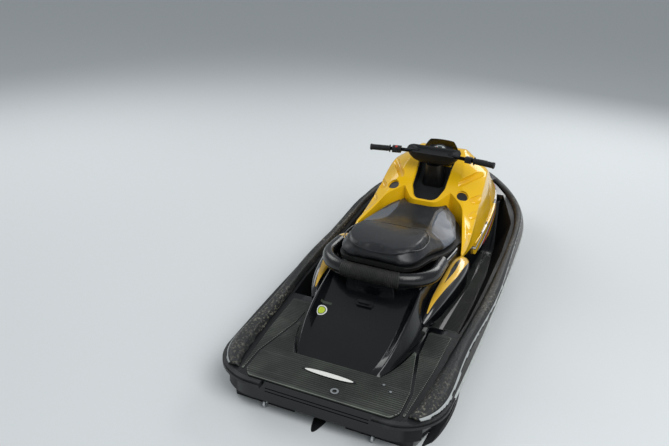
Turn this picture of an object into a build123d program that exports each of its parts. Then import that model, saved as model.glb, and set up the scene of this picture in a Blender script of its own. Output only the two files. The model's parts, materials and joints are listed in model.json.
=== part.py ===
from build123d import *
import math
import os

# Personal watercraft, two seats, moulded hull and deck, water jet drive.
# Millimetres. X points to the bow, Y to port, Z up, and Z 0 is the waterline.

# Overall sizes
LENGTH = 2930
BEAM = 1140
X_STERN = -LENGTH / 2
X_BOW = LENGTH / 2

# Plan outline: one long arc a side, a tighter arc to the bow, a round stern corner
X_WIDEST = X_BOW - 1065
SIDE_RADIUS = 30000
BOW_RADIUS = 1310
CORNER_RADIUS = 220

# Sheer line, where hull and deck are joined: two straight runs and a blend
SHEER_KNEE_X = 76
SHEER_KNEE_Z = 205
SHEER_AFT_SLOPE = 0.0356
SHEER_FORE_SLOPE = 0.1211
SHEER_BLEND = 6500

# Shell
DECK_THICK = 14
TRAY_WALL = 12
RAIL_DEPTH = 26
RAIL_BELOW = 14
RAIL_ABOVE = 14
JOINT_GAP = 0.3
SEAM_GAP = 5.8

# Stern
HULL_TRANSOM_X = X_STERN + 85
HULL_NOSE_X = X_BOW - 50
SKIRT_BOTTOM_Z = 62
CORNER_BUMPER_X = X_STERN + 275
CORNER_BUMPER_Y = 250
BOW_BUMPER_X = X_BOW - 275

# Jet drive, all on one centre line
JET_Z = -50
TUNNEL_RADIUS = 130
TUNNEL_FRONT_X = X_STERN + 435
DUCT_HALF_WIDTH = 78
PUMP_BORE = 78
PUMP_WALL = 10
PUMP_FLANGE = 104
PUMP_REAR_X = X_STERN + 175
HUB_RADIUS = 30
SHAFT_RADIUS = 12
SHAFT_FIT = 0.05
IMPELLER_LENGTH = 70
IMPELLER_BLADES = 4
STATOR_VANES = 7
BLADE_TIP_GAP = 0.6
OUTLET_RADIUS = 42
OUTLET_BORE = 36
OUTLET_END_X = X_STERN + 65
NOZZLE_PIVOT_X = X_STERN + 80
NOZZLE_END_X = X_STERN + 5
NOZZLE_RADIUS = 58
NOZZLE_BORE = 52
NOZZLE_END_RADIUS = 50
NOZZLE_END_BORE = 44
PIN_RADIUS = 5
RIDE_PLATE_THICK = 12
RIDE_PLATE_Z = -174
RIDE_PLATE_FLANGE = 34

# Engine bay under the seat, and the storage bin under the hood
BAY_FRONT_X = -60
BAY_REAR_X = -680
BAY_HALF_WIDTH = 190
BAY_FLOOR_Z = -110
ENGINE_LENGTH = 460
ENGINE_WIDTH = 300
ENGINE_HEIGHT = 330
BIN_REAR_X = 640
BIN_FRONT_X = 980
BIN_HALF_WIDTH = 170
BIN_FLOOR_Z = 270

# Seat
DECK_TOP_Z = 398
SEAT_FRONT_X = 158

# Steering
GRIP_END_Y = 368
GRIP_LENGTH = 118
GRIP_RADIUS = 17
BAR_RADIUS = 11
COLUMN_X = 235
COLUMN_Z = 760
COLUMN_LEAN = 25
COLUMN_RADIUS = 24

# Hood
HOOD_REAR_X = 565
HOOD_FRONT_X = 1280
HOOD_WALL = 10

MAT_THICK = 8
RAMP_MAT_THICK = 5
FOOT_MAT_THICK = 5

os.makedirs("parts", exist_ok=True)


# Outline arithmetic

SIDE_CENTRE_Y = BEAM / 2 - SIDE_RADIUS
BOW_CENTRE_Y = BEAM / 2 - BOW_RADIUS
BOW_REACH = X_BOW - X_WIDEST
NOSE_RADIUS = (BOW_RADIUS**2 - BOW_CENTRE_Y**2 - BOW_REACH**2) / (2 * (BOW_RADIUS - BOW_REACH))
NOSE_X = X_BOW - NOSE_RADIUS
CORNER_X = X_STERN + CORNER_RADIUS
CORNER_Y = SIDE_CENTRE_Y + math.sqrt(
    (SIDE_RADIUS - CORNER_RADIUS) ** 2 - (CORNER_X - X_WIDEST) ** 2
)


def on_arc(centre_x, centre_y, through_x, through_y, radius):
    """The point of a circle on the ray from its centre through another point."""
    run = through_x - centre_x
    rise = through_y - centre_y
    reach = math.hypot(run, rise)
    return (centre_x + run / reach * radius, centre_y + rise / reach * radius)


def half_beam(x, inset=0):
    """Half the width of the plan outline at x, drawn in by inset."""
    nose_joint = on_arc(X_WIDEST, BOW_CENTRE_Y, NOSE_X, 0, BOW_RADIUS - inset)[0]
    corner_joint = on_arc(X_WIDEST, SIDE_CENTRE_Y, CORNER_X, CORNER_Y, SIDE_RADIUS - inset)[0]
    if x > nose_joint:
        return math.sqrt(max((NOSE_RADIUS - inset) ** 2 - (x - NOSE_X) ** 2, 0))
    if x > X_WIDEST:
        return BOW_CENTRE_Y + math.sqrt((BOW_RADIUS - inset) ** 2 - (x - X_WIDEST) ** 2)
    if x > corner_joint:
        return SIDE_CENTRE_Y + math.sqrt((SIDE_RADIUS - inset) ** 2 - (x - X_WIDEST) ** 2)
    return CORNER_Y + math.sqrt(max((CORNER_RADIUS - inset) ** 2 - (x - CORNER_X) ** 2, 0))


def plan_outline(inset=0):
    """The outline seen from above, drawn in by inset, as one face on the waterline."""
    nose_tip = (X_BOW - inset, 0)
    nose_joint = on_arc(X_WIDEST, BOW_CENTRE_Y, NOSE_X, 0, BOW_RADIUS - inset)
    nose_middle = on_arc(
        NOSE_X, 0, (nose_tip[0] + nose_joint[0]) / 2, nose_joint[1] / 2, NOSE_RADIUS - inset
    )
    widest = (X_WIDEST, BEAM / 2 - inset)
    bow_middle_x = (X_WIDEST + nose_joint[0]) / 2
    bow_middle = (bow_middle_x, half_beam(bow_middle_x, inset))
    corner_joint = on_arc(X_WIDEST, SIDE_CENTRE_Y, CORNER_X, CORNER_Y, SIDE_RADIUS - inset)
    side_middle_x = (X_WIDEST + corner_joint[0]) / 2
    side_middle = (side_middle_x, half_beam(side_middle_x, inset))
    transom_end = (X_STERN + inset, CORNER_Y)
    corner_middle = on_arc(
        CORNER_X,
        CORNER_Y,
        (corner_joint[0] + transom_end[0]) / 2,
        (corner_joint[1] + transom_end[1]) / 2,
        CORNER_RADIUS - inset,
    )
    port = [
        ThreePointArc(nose_tip, nose_middle, nose_joint).edge(),
        ThreePointArc(nose_joint, bow_middle, widest).edge(),
        ThreePointArc(widest, side_middle, corner_joint).edge(),
        ThreePointArc(corner_joint, corner_middle, transom_end).edge(),
        Line(transom_end, (X_STERN + inset, 0)).edge(),
    ]
    starboard = [edge.mirror(Plane.XZ) for edge in port]
    return Face(Wire(port + starboard))


def plan_solid(inset=0):
    return Pos(0, 0, -400) * extrude(plan_outline(inset), 1400, dir=(0, 0, 1))


# Sheer arithmetic

AFT_ANGLE = math.atan(SHEER_AFT_SLOPE)
FORE_ANGLE = math.atan(SHEER_FORE_SLOPE)
BLEND_TANGENT = SHEER_BLEND * math.tan((FORE_ANGLE - AFT_ANGLE) / 2)
BLEND_AFT_X = SHEER_KNEE_X - BLEND_TANGENT * math.cos(AFT_ANGLE)
BLEND_FORE_X = SHEER_KNEE_X + BLEND_TANGENT * math.cos(FORE_ANGLE)
BLEND_CENTRE_X = BLEND_AFT_X - SHEER_BLEND * math.sin(AFT_ANGLE)
BLEND_CENTRE_Z = (
    SHEER_KNEE_Z - SHEER_AFT_SLOPE * (SHEER_KNEE_X - BLEND_AFT_X)
    + SHEER_BLEND * math.cos(AFT_ANGLE)
)


def sheer(x):
    """Height of the joint between hull and deck at x."""
    if x < BLEND_AFT_X:
        return SHEER_KNEE_Z + SHEER_AFT_SLOPE * (x - SHEER_KNEE_X)
    if x > BLEND_FORE_X:
        return SHEER_KNEE_Z + SHEER_FORE_SLOPE * (x - SHEER_KNEE_X)
    return BLEND_CENTRE_Z - math.sqrt(SHEER_BLEND**2 - (x - BLEND_CENTRE_X) ** 2)


def sheer_line(rise):
    """The sheer as three edges on the side plane, lifted by rise, from stern to bow."""
    ends = [X_STERN - 60, BLEND_AFT_X, BLEND_FORE_X, X_BOW + 60]
    middle = (BLEND_AFT_X + BLEND_FORE_X) / 2
    spots = [(x, sheer(x) + rise) for x in ends]
    return [
        Line(spots[0], spots[1]).edge(),
        ThreePointArc(spots[1], (middle, sheer(middle) + rise), spots[2]).edge(),
        Line(spots[2], spots[3]).edge(),
    ]


def sheer_band(low, high, half_width=700):
    """A full-width slab that follows the sheer, from low to high above it."""
    bottom = sheer_line(low)
    top = sheer_line(high)
    x0 = X_STERN - 60
    x1 = X_BOW + 60
    ends = [
        Line((x0, sheer(x0) + low), (x0, sheer(x0) + high)).edge(),
        Line((x1, sheer(x1) + low), (x1, sheer(x1) + high)).edge(),
    ]
    face = Plane.XZ * Face(Wire(bottom + top + ends))
    return extrude(face, half_width, both=True)


def below_sheer(half_width=700):
    bottom_z = -400
    x0 = X_STERN - 60
    x1 = X_BOW + 60
    sides = [
        Line((x0, sheer(x0)), (x0, bottom_z)).edge(),
        Line((x0, bottom_z), (x1, bottom_z)).edge(),
        Line((x1, bottom_z), (x1, sheer(x1))).edge(),
    ]
    face = Plane.XZ * Face(Wire(sheer_line(0) + sides))
    return extrude(face, half_width, both=True)


# Section helpers

def station(x):
    """The upright plane across the craft at x, with its own x to port and y up."""
    return Plane(origin=(x, 0, 0), x_dir=(0, 1, 0), z_dir=(1, 0, 0))


def side_plane(y=0):
    """The upright plane along the craft, with its own x to the bow and y up."""
    return Plane(origin=(0, y, 0), x_dir=(1, 0, 0), z_dir=(0, -1, 0))


def rounded(points, radii):
    """A closed face through points with a corner radius at each."""
    return make_face(FilletPolyline(*points, radius=radii, close=True).edges())


def cross_section(x, points, radii):
    return station(x) * rounded(points, radii)


def full_section(x, half_points, radii):
    """A section the same to port and starboard, from half points listed bottom to top."""
    port = list(half_points)
    starboard = [(-y, z) for y, z in reversed(half_points)]
    return cross_section(x, port + starboard, list(radii) + list(reversed(radii)))


def box_between(x0, x1, y0, y1, z0, z1):
    return Pos((x0 + x1) / 2, (y0 + y1) / 2, (z0 + z1) / 2) * Box(
        abs(x1 - x0), abs(y1 - y0), abs(z1 - z0)
    )


def rod(start, end, radius):
    """A round bar between two points."""
    axis = Vector(end) - Vector(start)
    return extrude(Plane(origin=start, z_dir=axis) * Circle(radius), axis.length)


def along_x(x0, x1, radius, y=0, z=JET_Z):
    return rod((min(x0, x1), y, z), (max(x0, x1), y, z), radius)


def cone_along_x(x0, radius0, x1, radius1, z=JET_Z):
    low = station(x0) * Pos(0, z) * Circle(radius0)
    high = station(x1) * Pos(0, z) * Circle(radius1)
    return loft([low, high])


def other_side(shape):
    return mirror(shape, about=Plane.XZ)


def save(name, shape):
    export_step(shape, f"parts/{name}.step")


# Hull

HULL_STATIONS = [
    # x, keel z, chine y, chine z, flare of the side
    (HULL_TRANSOM_X, -190, 400, -60, 18),
    (-700, -205, 450, -70, 20),
    (0, -215, 455, -65, 22),
    (600, -200, 400, -30, 30),
    (X_BOW - 465, -125, 270, 65, 40),
    (X_BOW - 205, 40, 125, 195, 36),
    (HULL_NOSE_X, 265, 24, 330, 14),
]
HULL_SIDE_RISE = 40
CHINE_STEP = 16
STRAKE_PLACE = 0.56
STRAKE_WIDTH = 30
STRAKE_ROOT = 12


def hull_section(x, keel_z, chine_y, chine_z, flare):
    top_y = half_beam(x, RAIL_DEPTH + 6)
    top_z = sheer(x) + HULL_SIDE_RISE
    low_y = max(top_y - flare, chine_y + 4)
    half = [
        (8, keel_z),
        (chine_y, chine_z),
        (chine_y + 3, chine_z + CHINE_STEP),
        (max(low_y, chine_y + 5), (chine_z + top_z) / 2),
        (max(top_y, chine_y + 7), top_z),
    ]
    starboard = [(-y, z) for y, z in reversed(half)]
    return station(x) * make_face(Polyline(*(half + starboard), close=True).edges())


def strake():
    """Spray rail along the port bottom: its running face is level, its root is in the hull."""
    faces = []
    for x, keel_z, chine_y, chine_z, flare in HULL_STATIONS[:5]:
        rise = (chine_z - keel_z) / (chine_y - 8)
        inner_y = STRAKE_PLACE * chine_y
        outer_y = inner_y + STRAKE_WIDTH
        low_z = keel_z + rise * (inner_y - 8)
        points = [
            (inner_y, low_z + 1),
            (outer_y, low_z),
            (outer_y + 4, low_z + rise * STRAKE_WIDTH + STRAKE_ROOT),
            (inner_y, low_z + STRAKE_ROOT),
        ]
        faces.append(station(x) * make_face(Polyline(*points, close=True).edges()))
    return loft(faces)


# Footwells: one tub across the craft, filled again in the middle by the raised centre
TUB_FLOOR_Z = 62
TUB_REAR_X = -775
TUB_LEAN = 22
TUB_EDGE = [
    # x, half width at floor level
    (TUB_REAR_X, 385),
    (-575, 402),
    (-200, 412),
    (200, 412),
    (560, 390),
    (950, 250),
]
RISER_FOOT_X = -580
RAMP_FOOT_X = 540
RAMP_TOP_X = 950
RAMP_TOP_Z = 270


def tub(grow=0):
    """The footwell space, or with grow the tray of the deck moulding round it."""
    port = [(x, y + grow) for x, y in TUB_EDGE]
    starboard = [(x, -y) for x, y in reversed(port)]
    outline = rounded(port + starboard, [1, 60, 200, 200, 200, 30, 30, 200, 200, 200, 60, 1])
    floor_z = TUB_FLOOR_Z - grow
    walls = Pos(0, 0, floor_z) * extrude(outline, 420, dir=(0, 0, 1), taper=-TUB_LEAN)
    lip_z = sheer(TUB_REAR_X) + DECK_THICK - grow
    profile = [
        (TUB_REAR_X - 400, 700),
        (TUB_REAR_X - 400, lip_z),
        (TUB_REAR_X + 40, lip_z),
        (RISER_FOOT_X - grow / 2, floor_z),
        (RAMP_FOOT_X + grow / 2, floor_z),
        (RAMP_TOP_X + grow / 2, RAMP_TOP_Z - grow),
        (RAMP_TOP_X + 90, 700),
    ]
    side = side_plane() * rounded(profile, [1, 1, 30, 60, 120, 40, 1])
    return walls & extrude(side, 800, both=True)


# Raised centre of the deck: base edge, lower shoulder, upper shoulder, inner edge.
# The two rear rows are the ridges beside the tail panel.
CORE_ROWS = [
    # x, base y z, lower shoulder y z, upper shoulder y z, inner edge y z
    (-1215, 205, 150, 203, 168, 186, 178, 152, 176),
    (-1050, 272, 150, 262, 205, 227, 276, 190, 238),
    (-900, 298, 150, 284, 238, 236, 340, 198, 298),
    (-760, 300, 150, 290, 250, 236, 386, 212, 388),
]
BODY_ROWS = [
    (-760, 300, 50, 290, 250, 236, 386),
    (-500, 312, 50, 302, 235, 268, 398),
    (-200, 330, 50, 322, 220, 300, 398),
    (100, 345, 50, 348, 192, 312, 398),
    (400, 348, 50, 352, 195, 312, 398),
    (700, 346, 60, 346, 215, 306, 392),
    (950, 300, 200, 304, 262, 256, 392),
    (1200, 186, 250, 188, 318, 150, 386),
]


def core_tail():
    faces = []
    for x, y0, z0, y1, z1, y2, z2, y3, z3 in CORE_ROWS:
        faces.append(full_section(x, [(y0, z0), (y1, z1), (y2, z2), (y3, z3)], [1, 14, 8, 6]))
    return loft(faces)


def core_body():
    faces = []
    for x, y0, z0, y1, z1, y2, z2 in BODY_ROWS:
        faces.append(full_section(x, [(y0, z0), (y1, z1), (y2, z2)], [1, 16, 16]))
    return loft(faces) & box_between(-900, 1300, -600, 600, 0, DECK_TOP_Z)


GROOVE_DROP = 18
GROOVE_WIDTH = 5
GROOVE_PITCH = 16
GROOVE_DEPTH = 3
GROOVE_HALF_SPAN = 235


def stern_skirt():
    block = box_between(X_STERN - 10, HULL_TRANSOM_X, -600, 600, SKIRT_BOTTOM_Z, 400)
    return block & below_sheer() & plan_solid(RAIL_DEPTH)


def transom_grooves():
    """Two shallow grooves across the face of the stern skirt."""
    reach = box_between(X_STERN, X_STERN + 60, -GROOVE_HALF_SPAN, GROOVE_HALF_SPAN, 0, 400)
    bands = sheer_band(-GROOVE_DROP - GROOVE_WIDTH, -GROOVE_DROP)
    bands = bands + Pos(0, 0, -GROOVE_PITCH) * bands
    return (bands & reach) - plan_solid(RAIL_DEPTH + GROOVE_DEPTH)


def engine_bay():
    return box_between(
        BAY_REAR_X, BAY_FRONT_X, -BAY_HALF_WIDTH, BAY_HALF_WIDTH, BAY_FLOOR_Z, 600
    )


def bow_bin():
    return box_between(
        BIN_REAR_X, BIN_FRONT_X, -BIN_HALF_WIDTH, BIN_HALF_WIDTH, BIN_FLOOR_Z, 600
    )


def intake_duct():
    """The scoop from the keel up to the pump, as wide as the pump's bore."""
    profile = [
        (TUNNEL_FRONT_X + 430, -260),
        (TUNNEL_FRONT_X + 390, -180),
        (TUNNEL_FRONT_X + 130, JET_Z + 30),
        (TUNNEL_FRONT_X - 1, JET_Z + PUMP_BORE),
        (TUNNEL_FRONT_X - 1, JET_Z - PUMP_BORE),
        (TUNNEL_FRONT_X + 45, -175),
        (TUNNEL_FRONT_X + 50, -260),
    ]
    face = side_plane() * make_face(Polyline(*profile, close=True).edges())
    slot = extrude(face, DUCT_HALF_WIDTH, both=True)
    round_end = along_x(TUNNEL_FRONT_X - 1, TUNNEL_FRONT_X + 330, PUMP_BORE)
    roof = box_between(TUNNEL_FRONT_X - 70, TUNNEL_FRONT_X + 150, -200, 200, JET_Z, 200)
    return (slot - roof) + (slot & roof & round_end)


def pump_tunnel():
    arch = along_x(HULL_TRANSOM_X - 120, TUNNEL_FRONT_X, TUNNEL_RADIUS)
    below = box_between(
        HULL_TRANSOM_X - 120, TUNNEL_FRONT_X, -TUNNEL_RADIUS, TUNNEL_RADIUS, -400, JET_Z
    )
    return arch + below


def lower_hull():
    shape = loft([hull_section(*row) for row in HULL_STATIONS])
    shape = shape + strake() + other_side(strake())
    shape = shape & below_sheer() & plan_solid(RAIL_DEPTH)
    shape = shape - tub(TRAY_WALL + JOINT_GAP) - engine_bay() - bow_bin()
    shape = shape - pump_tunnel() - intake_duct()
    shaft_bore = along_x(TUNNEL_FRONT_X, BAY_REAR_X + 5, SHAFT_RADIUS + 5)
    return shape - shaft_bore


def handle_post():
    """Post on the tail of the deck that carries the middle of the grab handle."""
    return loft(
        [
            Plane(origin=(-790, 0, 330)) * RectangleRounded(70, 250, 16),
            Plane(origin=(-820, 0, 430)) * RectangleRounded(44, 230, 16),
        ]
    )


def deck():
    shell = plan_solid(RAIL_DEPTH) & sheer_band(0, DECK_THICK)
    shell = shell + stern_skirt() - transom_grooves()
    shell = shell + (tub(TRAY_WALL) & sheer_band(-400, DECK_THICK))
    shell = shell - tub()
    room = sheer_band(0, 500) + tub(TRAY_WALL - 2)
    shell = shell + (core_body() & room) + (core_tail() & sheer_band(2, 500))
    shell = shell + handle_post()
    return shell - engine_bay() - bow_bin()


# Rubber rail round the joint

def rail_ring():
    main = plan_solid(5) & sheer_band(-RAIL_BELOW, RAIL_ABOVE)
    bead = plan_solid(0) & sheer_band(-RAIL_BELOW + 6, RAIL_ABOVE - 10)
    return main + bead - plan_solid(RAIL_DEPTH)


def rail_pieces():
    ring = rail_ring()
    bow = ring & box_between(BOW_BUMPER_X, X_BOW + 10, -600, 600, -100, 700)
    corner_box = box_between(
        X_STERN - 10, CORNER_BUMPER_X, CORNER_BUMPER_Y, 700, -100, 700
    )
    corner = ring & corner_box
    side = ring & box_between(CORNER_BUMPER_X, BOW_BUMPER_X, 0, 700, -100, 700)
    return bow, corner, side


# Padded gunwales: inner edge of each station, and how high the crest stands
PAD_INSET = 10
PAD_ROWS = [
    # x, inner edge in from the widest beam, crest height above the sheer
    (X_STERN + 63, 196, 34),
    (X_STERN + 135, 178, 44),
    (X_STERN + 379, 150, 50),
    (-587, 109, 52),
    (0, 80, 50),
    (X_BOW - 811, 92, 46),
    (X_BOW - 515, 190, 42),
    (X_BOW - 285, 338, 36),
]


def gunwale_pad():
    faces = []
    for x, inner_in, crest in PAD_ROWS:
        inner_y = BEAM / 2 - inner_in
        outer_y = half_beam(x, PAD_INSET)
        width = outer_y - inner_y
        base = sheer(x) + DECK_THICK
        points = [
            (inner_y, base - 5),
            (outer_y, base - 5),
            (outer_y - 0.3 * width, sheer(x) + crest),
            (inner_y + 0.26 * width, sheer(x) + crest - 3),
        ]
        soft = 0.14 * width
        faces.append(cross_section(x, points, [0, 0, soft, soft]))
    solid = loft(faces)
    return solid & sheer_band(DECK_THICK + JOINT_GAP, 200)


# Grooved rubber mats

def flat_mat(outline, radii, base_rise, thick):
    """A mat cut to a plan outline and laid on the deck along the sheer."""
    prism = Pos(0, 0, -50) * extrude(rounded(outline, radii), 500)
    return prism & sheer_band(base_rise, base_rise + thick)


def rear_deck_mat():
    port = [(X_STERN + 31, 318), (X_STERN + 70, 348), (X_STERN + 207, 350), (-981, 296)]
    inner = [(-1225, 215), (-1225, -215)]
    starboard = [(x, -y) for x, y in reversed(port)]
    mat = flat_mat(port + starboard, [20, 40, 40, 6, 6, 40, 40, 20], DECK_THICK, MAT_THICK)
    block = loft(
        [
            full_section(x, [(y0 + 4, 100), (y1 + 4, z1 + 60)], [1, 1])
            for x, y0, z0, y1, z1, y2, z2, y3, z3 in CORE_ROWS
        ]
    )
    return mat - block


def ramp_mat():
    outline = [(X_STERN + 65, 362), (X_STERN + 207, 364), (-985, 312), (-790, 306)]
    outline += [(-790, 414), (-1086, 402), (X_STERN + 135, 378), (X_STERN + 65, 371)]
    return flat_mat(outline, [4, 40, 40, 14, 10, 60, 40, 4], DECK_THICK, RAMP_MAT_THICK)


def footwell_mat():
    """A grooved mat on the flat floor, with its inner edge along the raised centre."""
    outline = [(-545, 320), (-545, 396), (-200, 407), (200, 407), (480, 386), (480, 362)]
    outline += [(100, 356)]
    sheet = rounded(outline, [10, 20, 100, 100, 8, 8, 100])
    return Pos(0, 0, TUB_FLOOR_Z) * extrude(sheet, FOOT_MAT_THICK, dir=(0, 0, 1))


def mat_badge():
    """A plain oval plate let into the rear mat."""
    centre_x = X_STERN + 165
    tilt = sheer(centre_x) + DECK_THICK + MAT_THICK
    plate = extrude(Ellipse(126, 15), 3)
    slope = -math.degrees(AFT_ANGLE)
    return Pos(centre_x, 0, tilt) * Rot(0, slope, 0) * Rot(0, 0, 90) * plate


# Front cowl: lower edge, outer shoulder, top edge and centre at each station
COWL_ROWS = [
    # x, lower edge y z, outer shoulder y z, top edge y z
    (-240, 322, 345, 322, 372, 300, 392),
    (-60, 336, 335, 330, 415, 290, 456),
    (160, 345, 330, 314, 508, 214, 562),
    (300, 345, 335, 308, 578, 176, 672),
    (430, 344, 345, 300, 630, 150, 742),
    (560, 340, 355, 284, 610, 140, 722),
]


def seat_outline(grow):
    """Plan outline of the seat's front part, grown outward."""
    port = [
        (SEAT_FRONT_X + grow, 142),
        (SEAT_FRONT_X - 74 + grow, 230 + grow),
        (-245, 311 + grow),
        (-900, 311 + grow),
    ]
    starboard = [(x, -y) for x, y in reversed(port)]
    return rounded(port + starboard, [50, 120, 200, 1, 1, 200, 120, 50])


def cowl_loft():
    faces = []
    for x, y0, z0, y1, z1, y2, z2 in COWL_ROWS:
        faces.append(full_section(x, [(y0, z0), (y1, z1), (y2, z2)], [1, 26, 20]))
    return loft(faces)


# The hollow that the steering column rises from: a U drawn on the slope of the cowl
SLOPE_ANGLE = 38.66
SLOPE_X = 113
SLOPE_Z = 510
RECESS_DEPTH = 78
RECESS_BACK_X = 420
RECESS_EDGE = [
    # distance up the slope, half width
    (460, 128),
    (240, 102),
    (90, 98),
    (0, 62),
]
RECESS_RADII = [1, 120, 60, 50]
FLARE_TAPER = 24
LINER_WALL = 4
GAUGE_WALL_HALF = 80
GAUGE_WALL_LOW = 640
RIM_EDGE = [
    # x, half width
    (330, 160),
    (172, 150),
    (84, 74),
]


def slope_plane(rise=0):
    """Plane along the edge of the hollow: x up the slope, y to port, lifted by rise."""
    lean = math.radians(SLOPE_ANGLE)
    normal = (-math.sin(lean), 0, math.cos(lean))
    base = Plane(
        origin=(SLOPE_X, 0, SLOPE_Z), x_dir=(math.cos(lean), 0, math.sin(lean)), z_dir=normal
    )
    return base * Pos(0, 0, rise)


def recess_outline(grow):
    port = [(u, y + grow) for u, y in RECESS_EDGE[:-1]]
    port.append((RECESS_EDGE[-1][0] - grow, RECESS_EDGE[-1][1] + grow))
    starboard = [(u, -y) for u, y in reversed(port)]
    return rounded(port + starboard, RECESS_RADII + RECESS_RADII[::-1])


def recess_block(grow, depth, back_x):
    block = slope_plane(-depth) * extrude(recess_outline(grow), depth, dir=(0, 0, 1))
    return block & box_between(-100, back_x, -400, 400, 300, 1000)


def recess():
    """The hollow with the flare round its edge."""
    flare = slope_plane() * extrude(recess_outline(0), 90, dir=(0, 0, 1), taper=-FLARE_TAPER)
    flare = flare & box_between(-100, RECESS_BACK_X, -400, 400, 300, 1000)
    return recess_block(0, RECESS_DEPTH, RECESS_BACK_X) + flare


def rim_block(grow):
    """The space of the raised rim behind the hollow, seen from above."""
    port = [(x - grow, y + grow) for x, y in RIM_EDGE]
    starboard = [(x, -y) for x, y in reversed(port)]
    outline = rounded(port + starboard, [1, 40, 60, 60, 40, 1])
    return Pos(0, 0, 300) * extrude(outline, 500, dir=(0, 0, 1))


def console():
    """Black moulded liner of the hollow, open in front for the gauge pod."""
    outer = recess_block(-JOINT_GAP, RECESS_DEPTH - JOINT_GAP, RECESS_BACK_X - JOINT_GAP)
    inner = slope_plane() * Pos(0, 0, -RECESS_DEPTH + JOINT_GAP + LINER_WALL)
    room = inner * extrude(recess_outline(-LINER_WALL), RECESS_DEPTH + 50, dir=(0, 0, 1))
    room = room & box_between(
        -100, RECESS_BACK_X - JOINT_GAP - LINER_WALL, -400, 400, 300, 1000
    )
    window = box_between(
        RECESS_BACK_X - 20, RECESS_BACK_X + 20, -GAUGE_WALL_HALF - JOINT_GAP,
        GAUGE_WALL_HALF + JOINT_GAP, GAUGE_WALL_LOW - JOINT_GAP, 900,
    )
    return outer - room - window


# Two round rubber caps beside the seat's nose, each on a flat land
CAP_X = 166
CAP_Y = 211
CAP_Z = 548
CAP_RADIUS = 32
CAP_DEPTH = 12
CAP_LAND = 4


def cap_plane():
    return Plane(origin=(CAP_X, CAP_Y, CAP_Z), z_dir=(-0.5, 0.32, 0.8))


def cap(grow=0):
    return extrude(cap_plane() * Circle(CAP_RADIUS + grow), -CAP_DEPTH - grow)


def cap_space():
    land = extrude(cap_plane() * Circle(CAP_RADIUS + CAP_LAND), 60)
    return cap(JOINT_GAP) + land


# Pressed hollows in the flanks of the cowl: three vents in a row and a long crease above
SCOOPS = [
    # start x y z, end x y z, outward direction, depth in the middle, radius of the press
    ((150, 262, 528), (236, 308, 522), (-0.37, 0.36, 0.85), 12, 26),
    ((22, 280, 480), (112, 312, 472), (-0.26, 0.5, 0.83), 11, 24),
    ((-90, 306, 431), (-22, 322, 427), (-0.2, 0.66, 0.73), 8, 20),
    ((205, 170, 600), (404, 280, 636), (-0.44, 0.39, 0.81), 13, 22),
]


def scoop(start, end, out, depth, radius):
    """Part of a ring that dips into the surface between start and end."""
    run = Vector(*end) - Vector(*start)
    side = run.cross(Vector(*out)).normalized()
    away = side.cross(run).normalized()
    reach = run.length**2 / (8 * depth)
    middle = (Vector(*start) + Vector(*end)) * 0.5
    centre = middle + away * (reach - depth)
    return Plane(origin=centre, x_dir=run, z_dir=side) * Torus(reach - radius, radius)


def front_cowl():
    seat_space = Pos(0, 0, 300) * extrude(seat_outline(SEAM_GAP), 500, dir=(0, 0, 1))
    shape = cowl_loft() - (seat_space - rim_block(0)) - recess() - core_body()
    for row in SCOOPS:
        hollow = scoop(*row)
        shape = shape - hollow - other_side(hollow)
    return shape - cap_space() - other_side(cap_space())


def cowl_caps():
    return Compound(children=[cap().solid(), other_side(cap()).solid()])


# Striped side panels below the cowl, and the pods behind them
PANEL_ROWS = [
    # x, outer y, low z, high z
    (60, 350, 246, 322),
    (300, 362, 236, 326),
    (700, 354, 262, 352),
    (940, 314, 324, 366),
    (1040, 284, 344, 374),
]
POD_ROWS = [
    # x, centre y, centre z, half width, half height
    (-850, 280, 255, 10, 12),
    (-700, 306, 285, 38, 60),
    (-500, 326, 298, 48, 78),
    (-340, 334, 303, 48, 84),
    (-248, 330, 303, 34, 60),
]


def side_panel():
    faces = []
    for x, outer_y, low_z, high_z in PANEL_ROWS:
        points = [(outer_y - 70, low_z), (outer_y, low_z), (outer_y - 8, high_z)]
        points += [(outer_y - 70, high_z)]
        faces.append(cross_section(x, points, [1, 5, 5, 1]))
    return loft(faces) - core_body()


def side_pod():
    faces = []
    for x, y, z, half_width, half_height in POD_ROWS:
        shape = RectangleRounded(2 * half_width, 2 * half_height, 0.9 * half_width)
        faces.append(station(x) * Pos(y, z) * shape)
    return loft(faces) - core_body() - core_tail()


# Seat and the stiff pan under it

SEAT_ROWS = [
    # x, bottom edge y z, widest y z, top shoulder y z
    (-805, 120, 496, 152, 514, 108, 538),
    (-750, 190, 490, 216, 520, 156, 566),
    (-640, 222, 478, 244, 518, 180, 576),
    (-480, 244, 446, 262, 490, 168, 560),
    (-330, 272, 416, 284, 446, 140, 520),
    (-180, 296, 416, 304, 434, 118, 496),
    (-40, 292, 416, 300, 440, 112, 506),
    (80, 262, 416, 272, 448, 134, 506),
    (SEAT_FRONT_X + 12, 228, 416, 238, 462, 152, 530),
]


def seat():
    faces = []
    for x, y0, z0, y1, z1, y2, z2 in SEAT_ROWS:
        faces.append(full_section(x, [(y0, z0), (y1, z1), (y2, z2)], [4, 14, 24]))
    outline = Pos(0, 0, 300) * extrude(seat_outline(0), 500, dir=(0, 0, 1))
    return (loft(faces) & outline) - rim_block(SEAM_GAP)


PAN_REAR_X = -788


def seat_pan():
    faces = []
    for x, y0, z0, y1, z1, y2, z2 in SEAT_ROWS:
        faces.append(full_section(x, [(y0 - 8, z0 - 22), (y0 - 3, z0 - JOINT_GAP)], [3, 2]))
    outline = Pos(0, 0, 300) * extrude(seat_outline(-2), 500, dir=(0, 0, 1))
    above = box_between(PAN_REAR_X, 400, -500, 500, DECK_TOP_Z + JOINT_GAP, 800)
    return (loft(faces) & outline & above) - seat() - rim_block(SEAM_GAP + 2)


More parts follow.
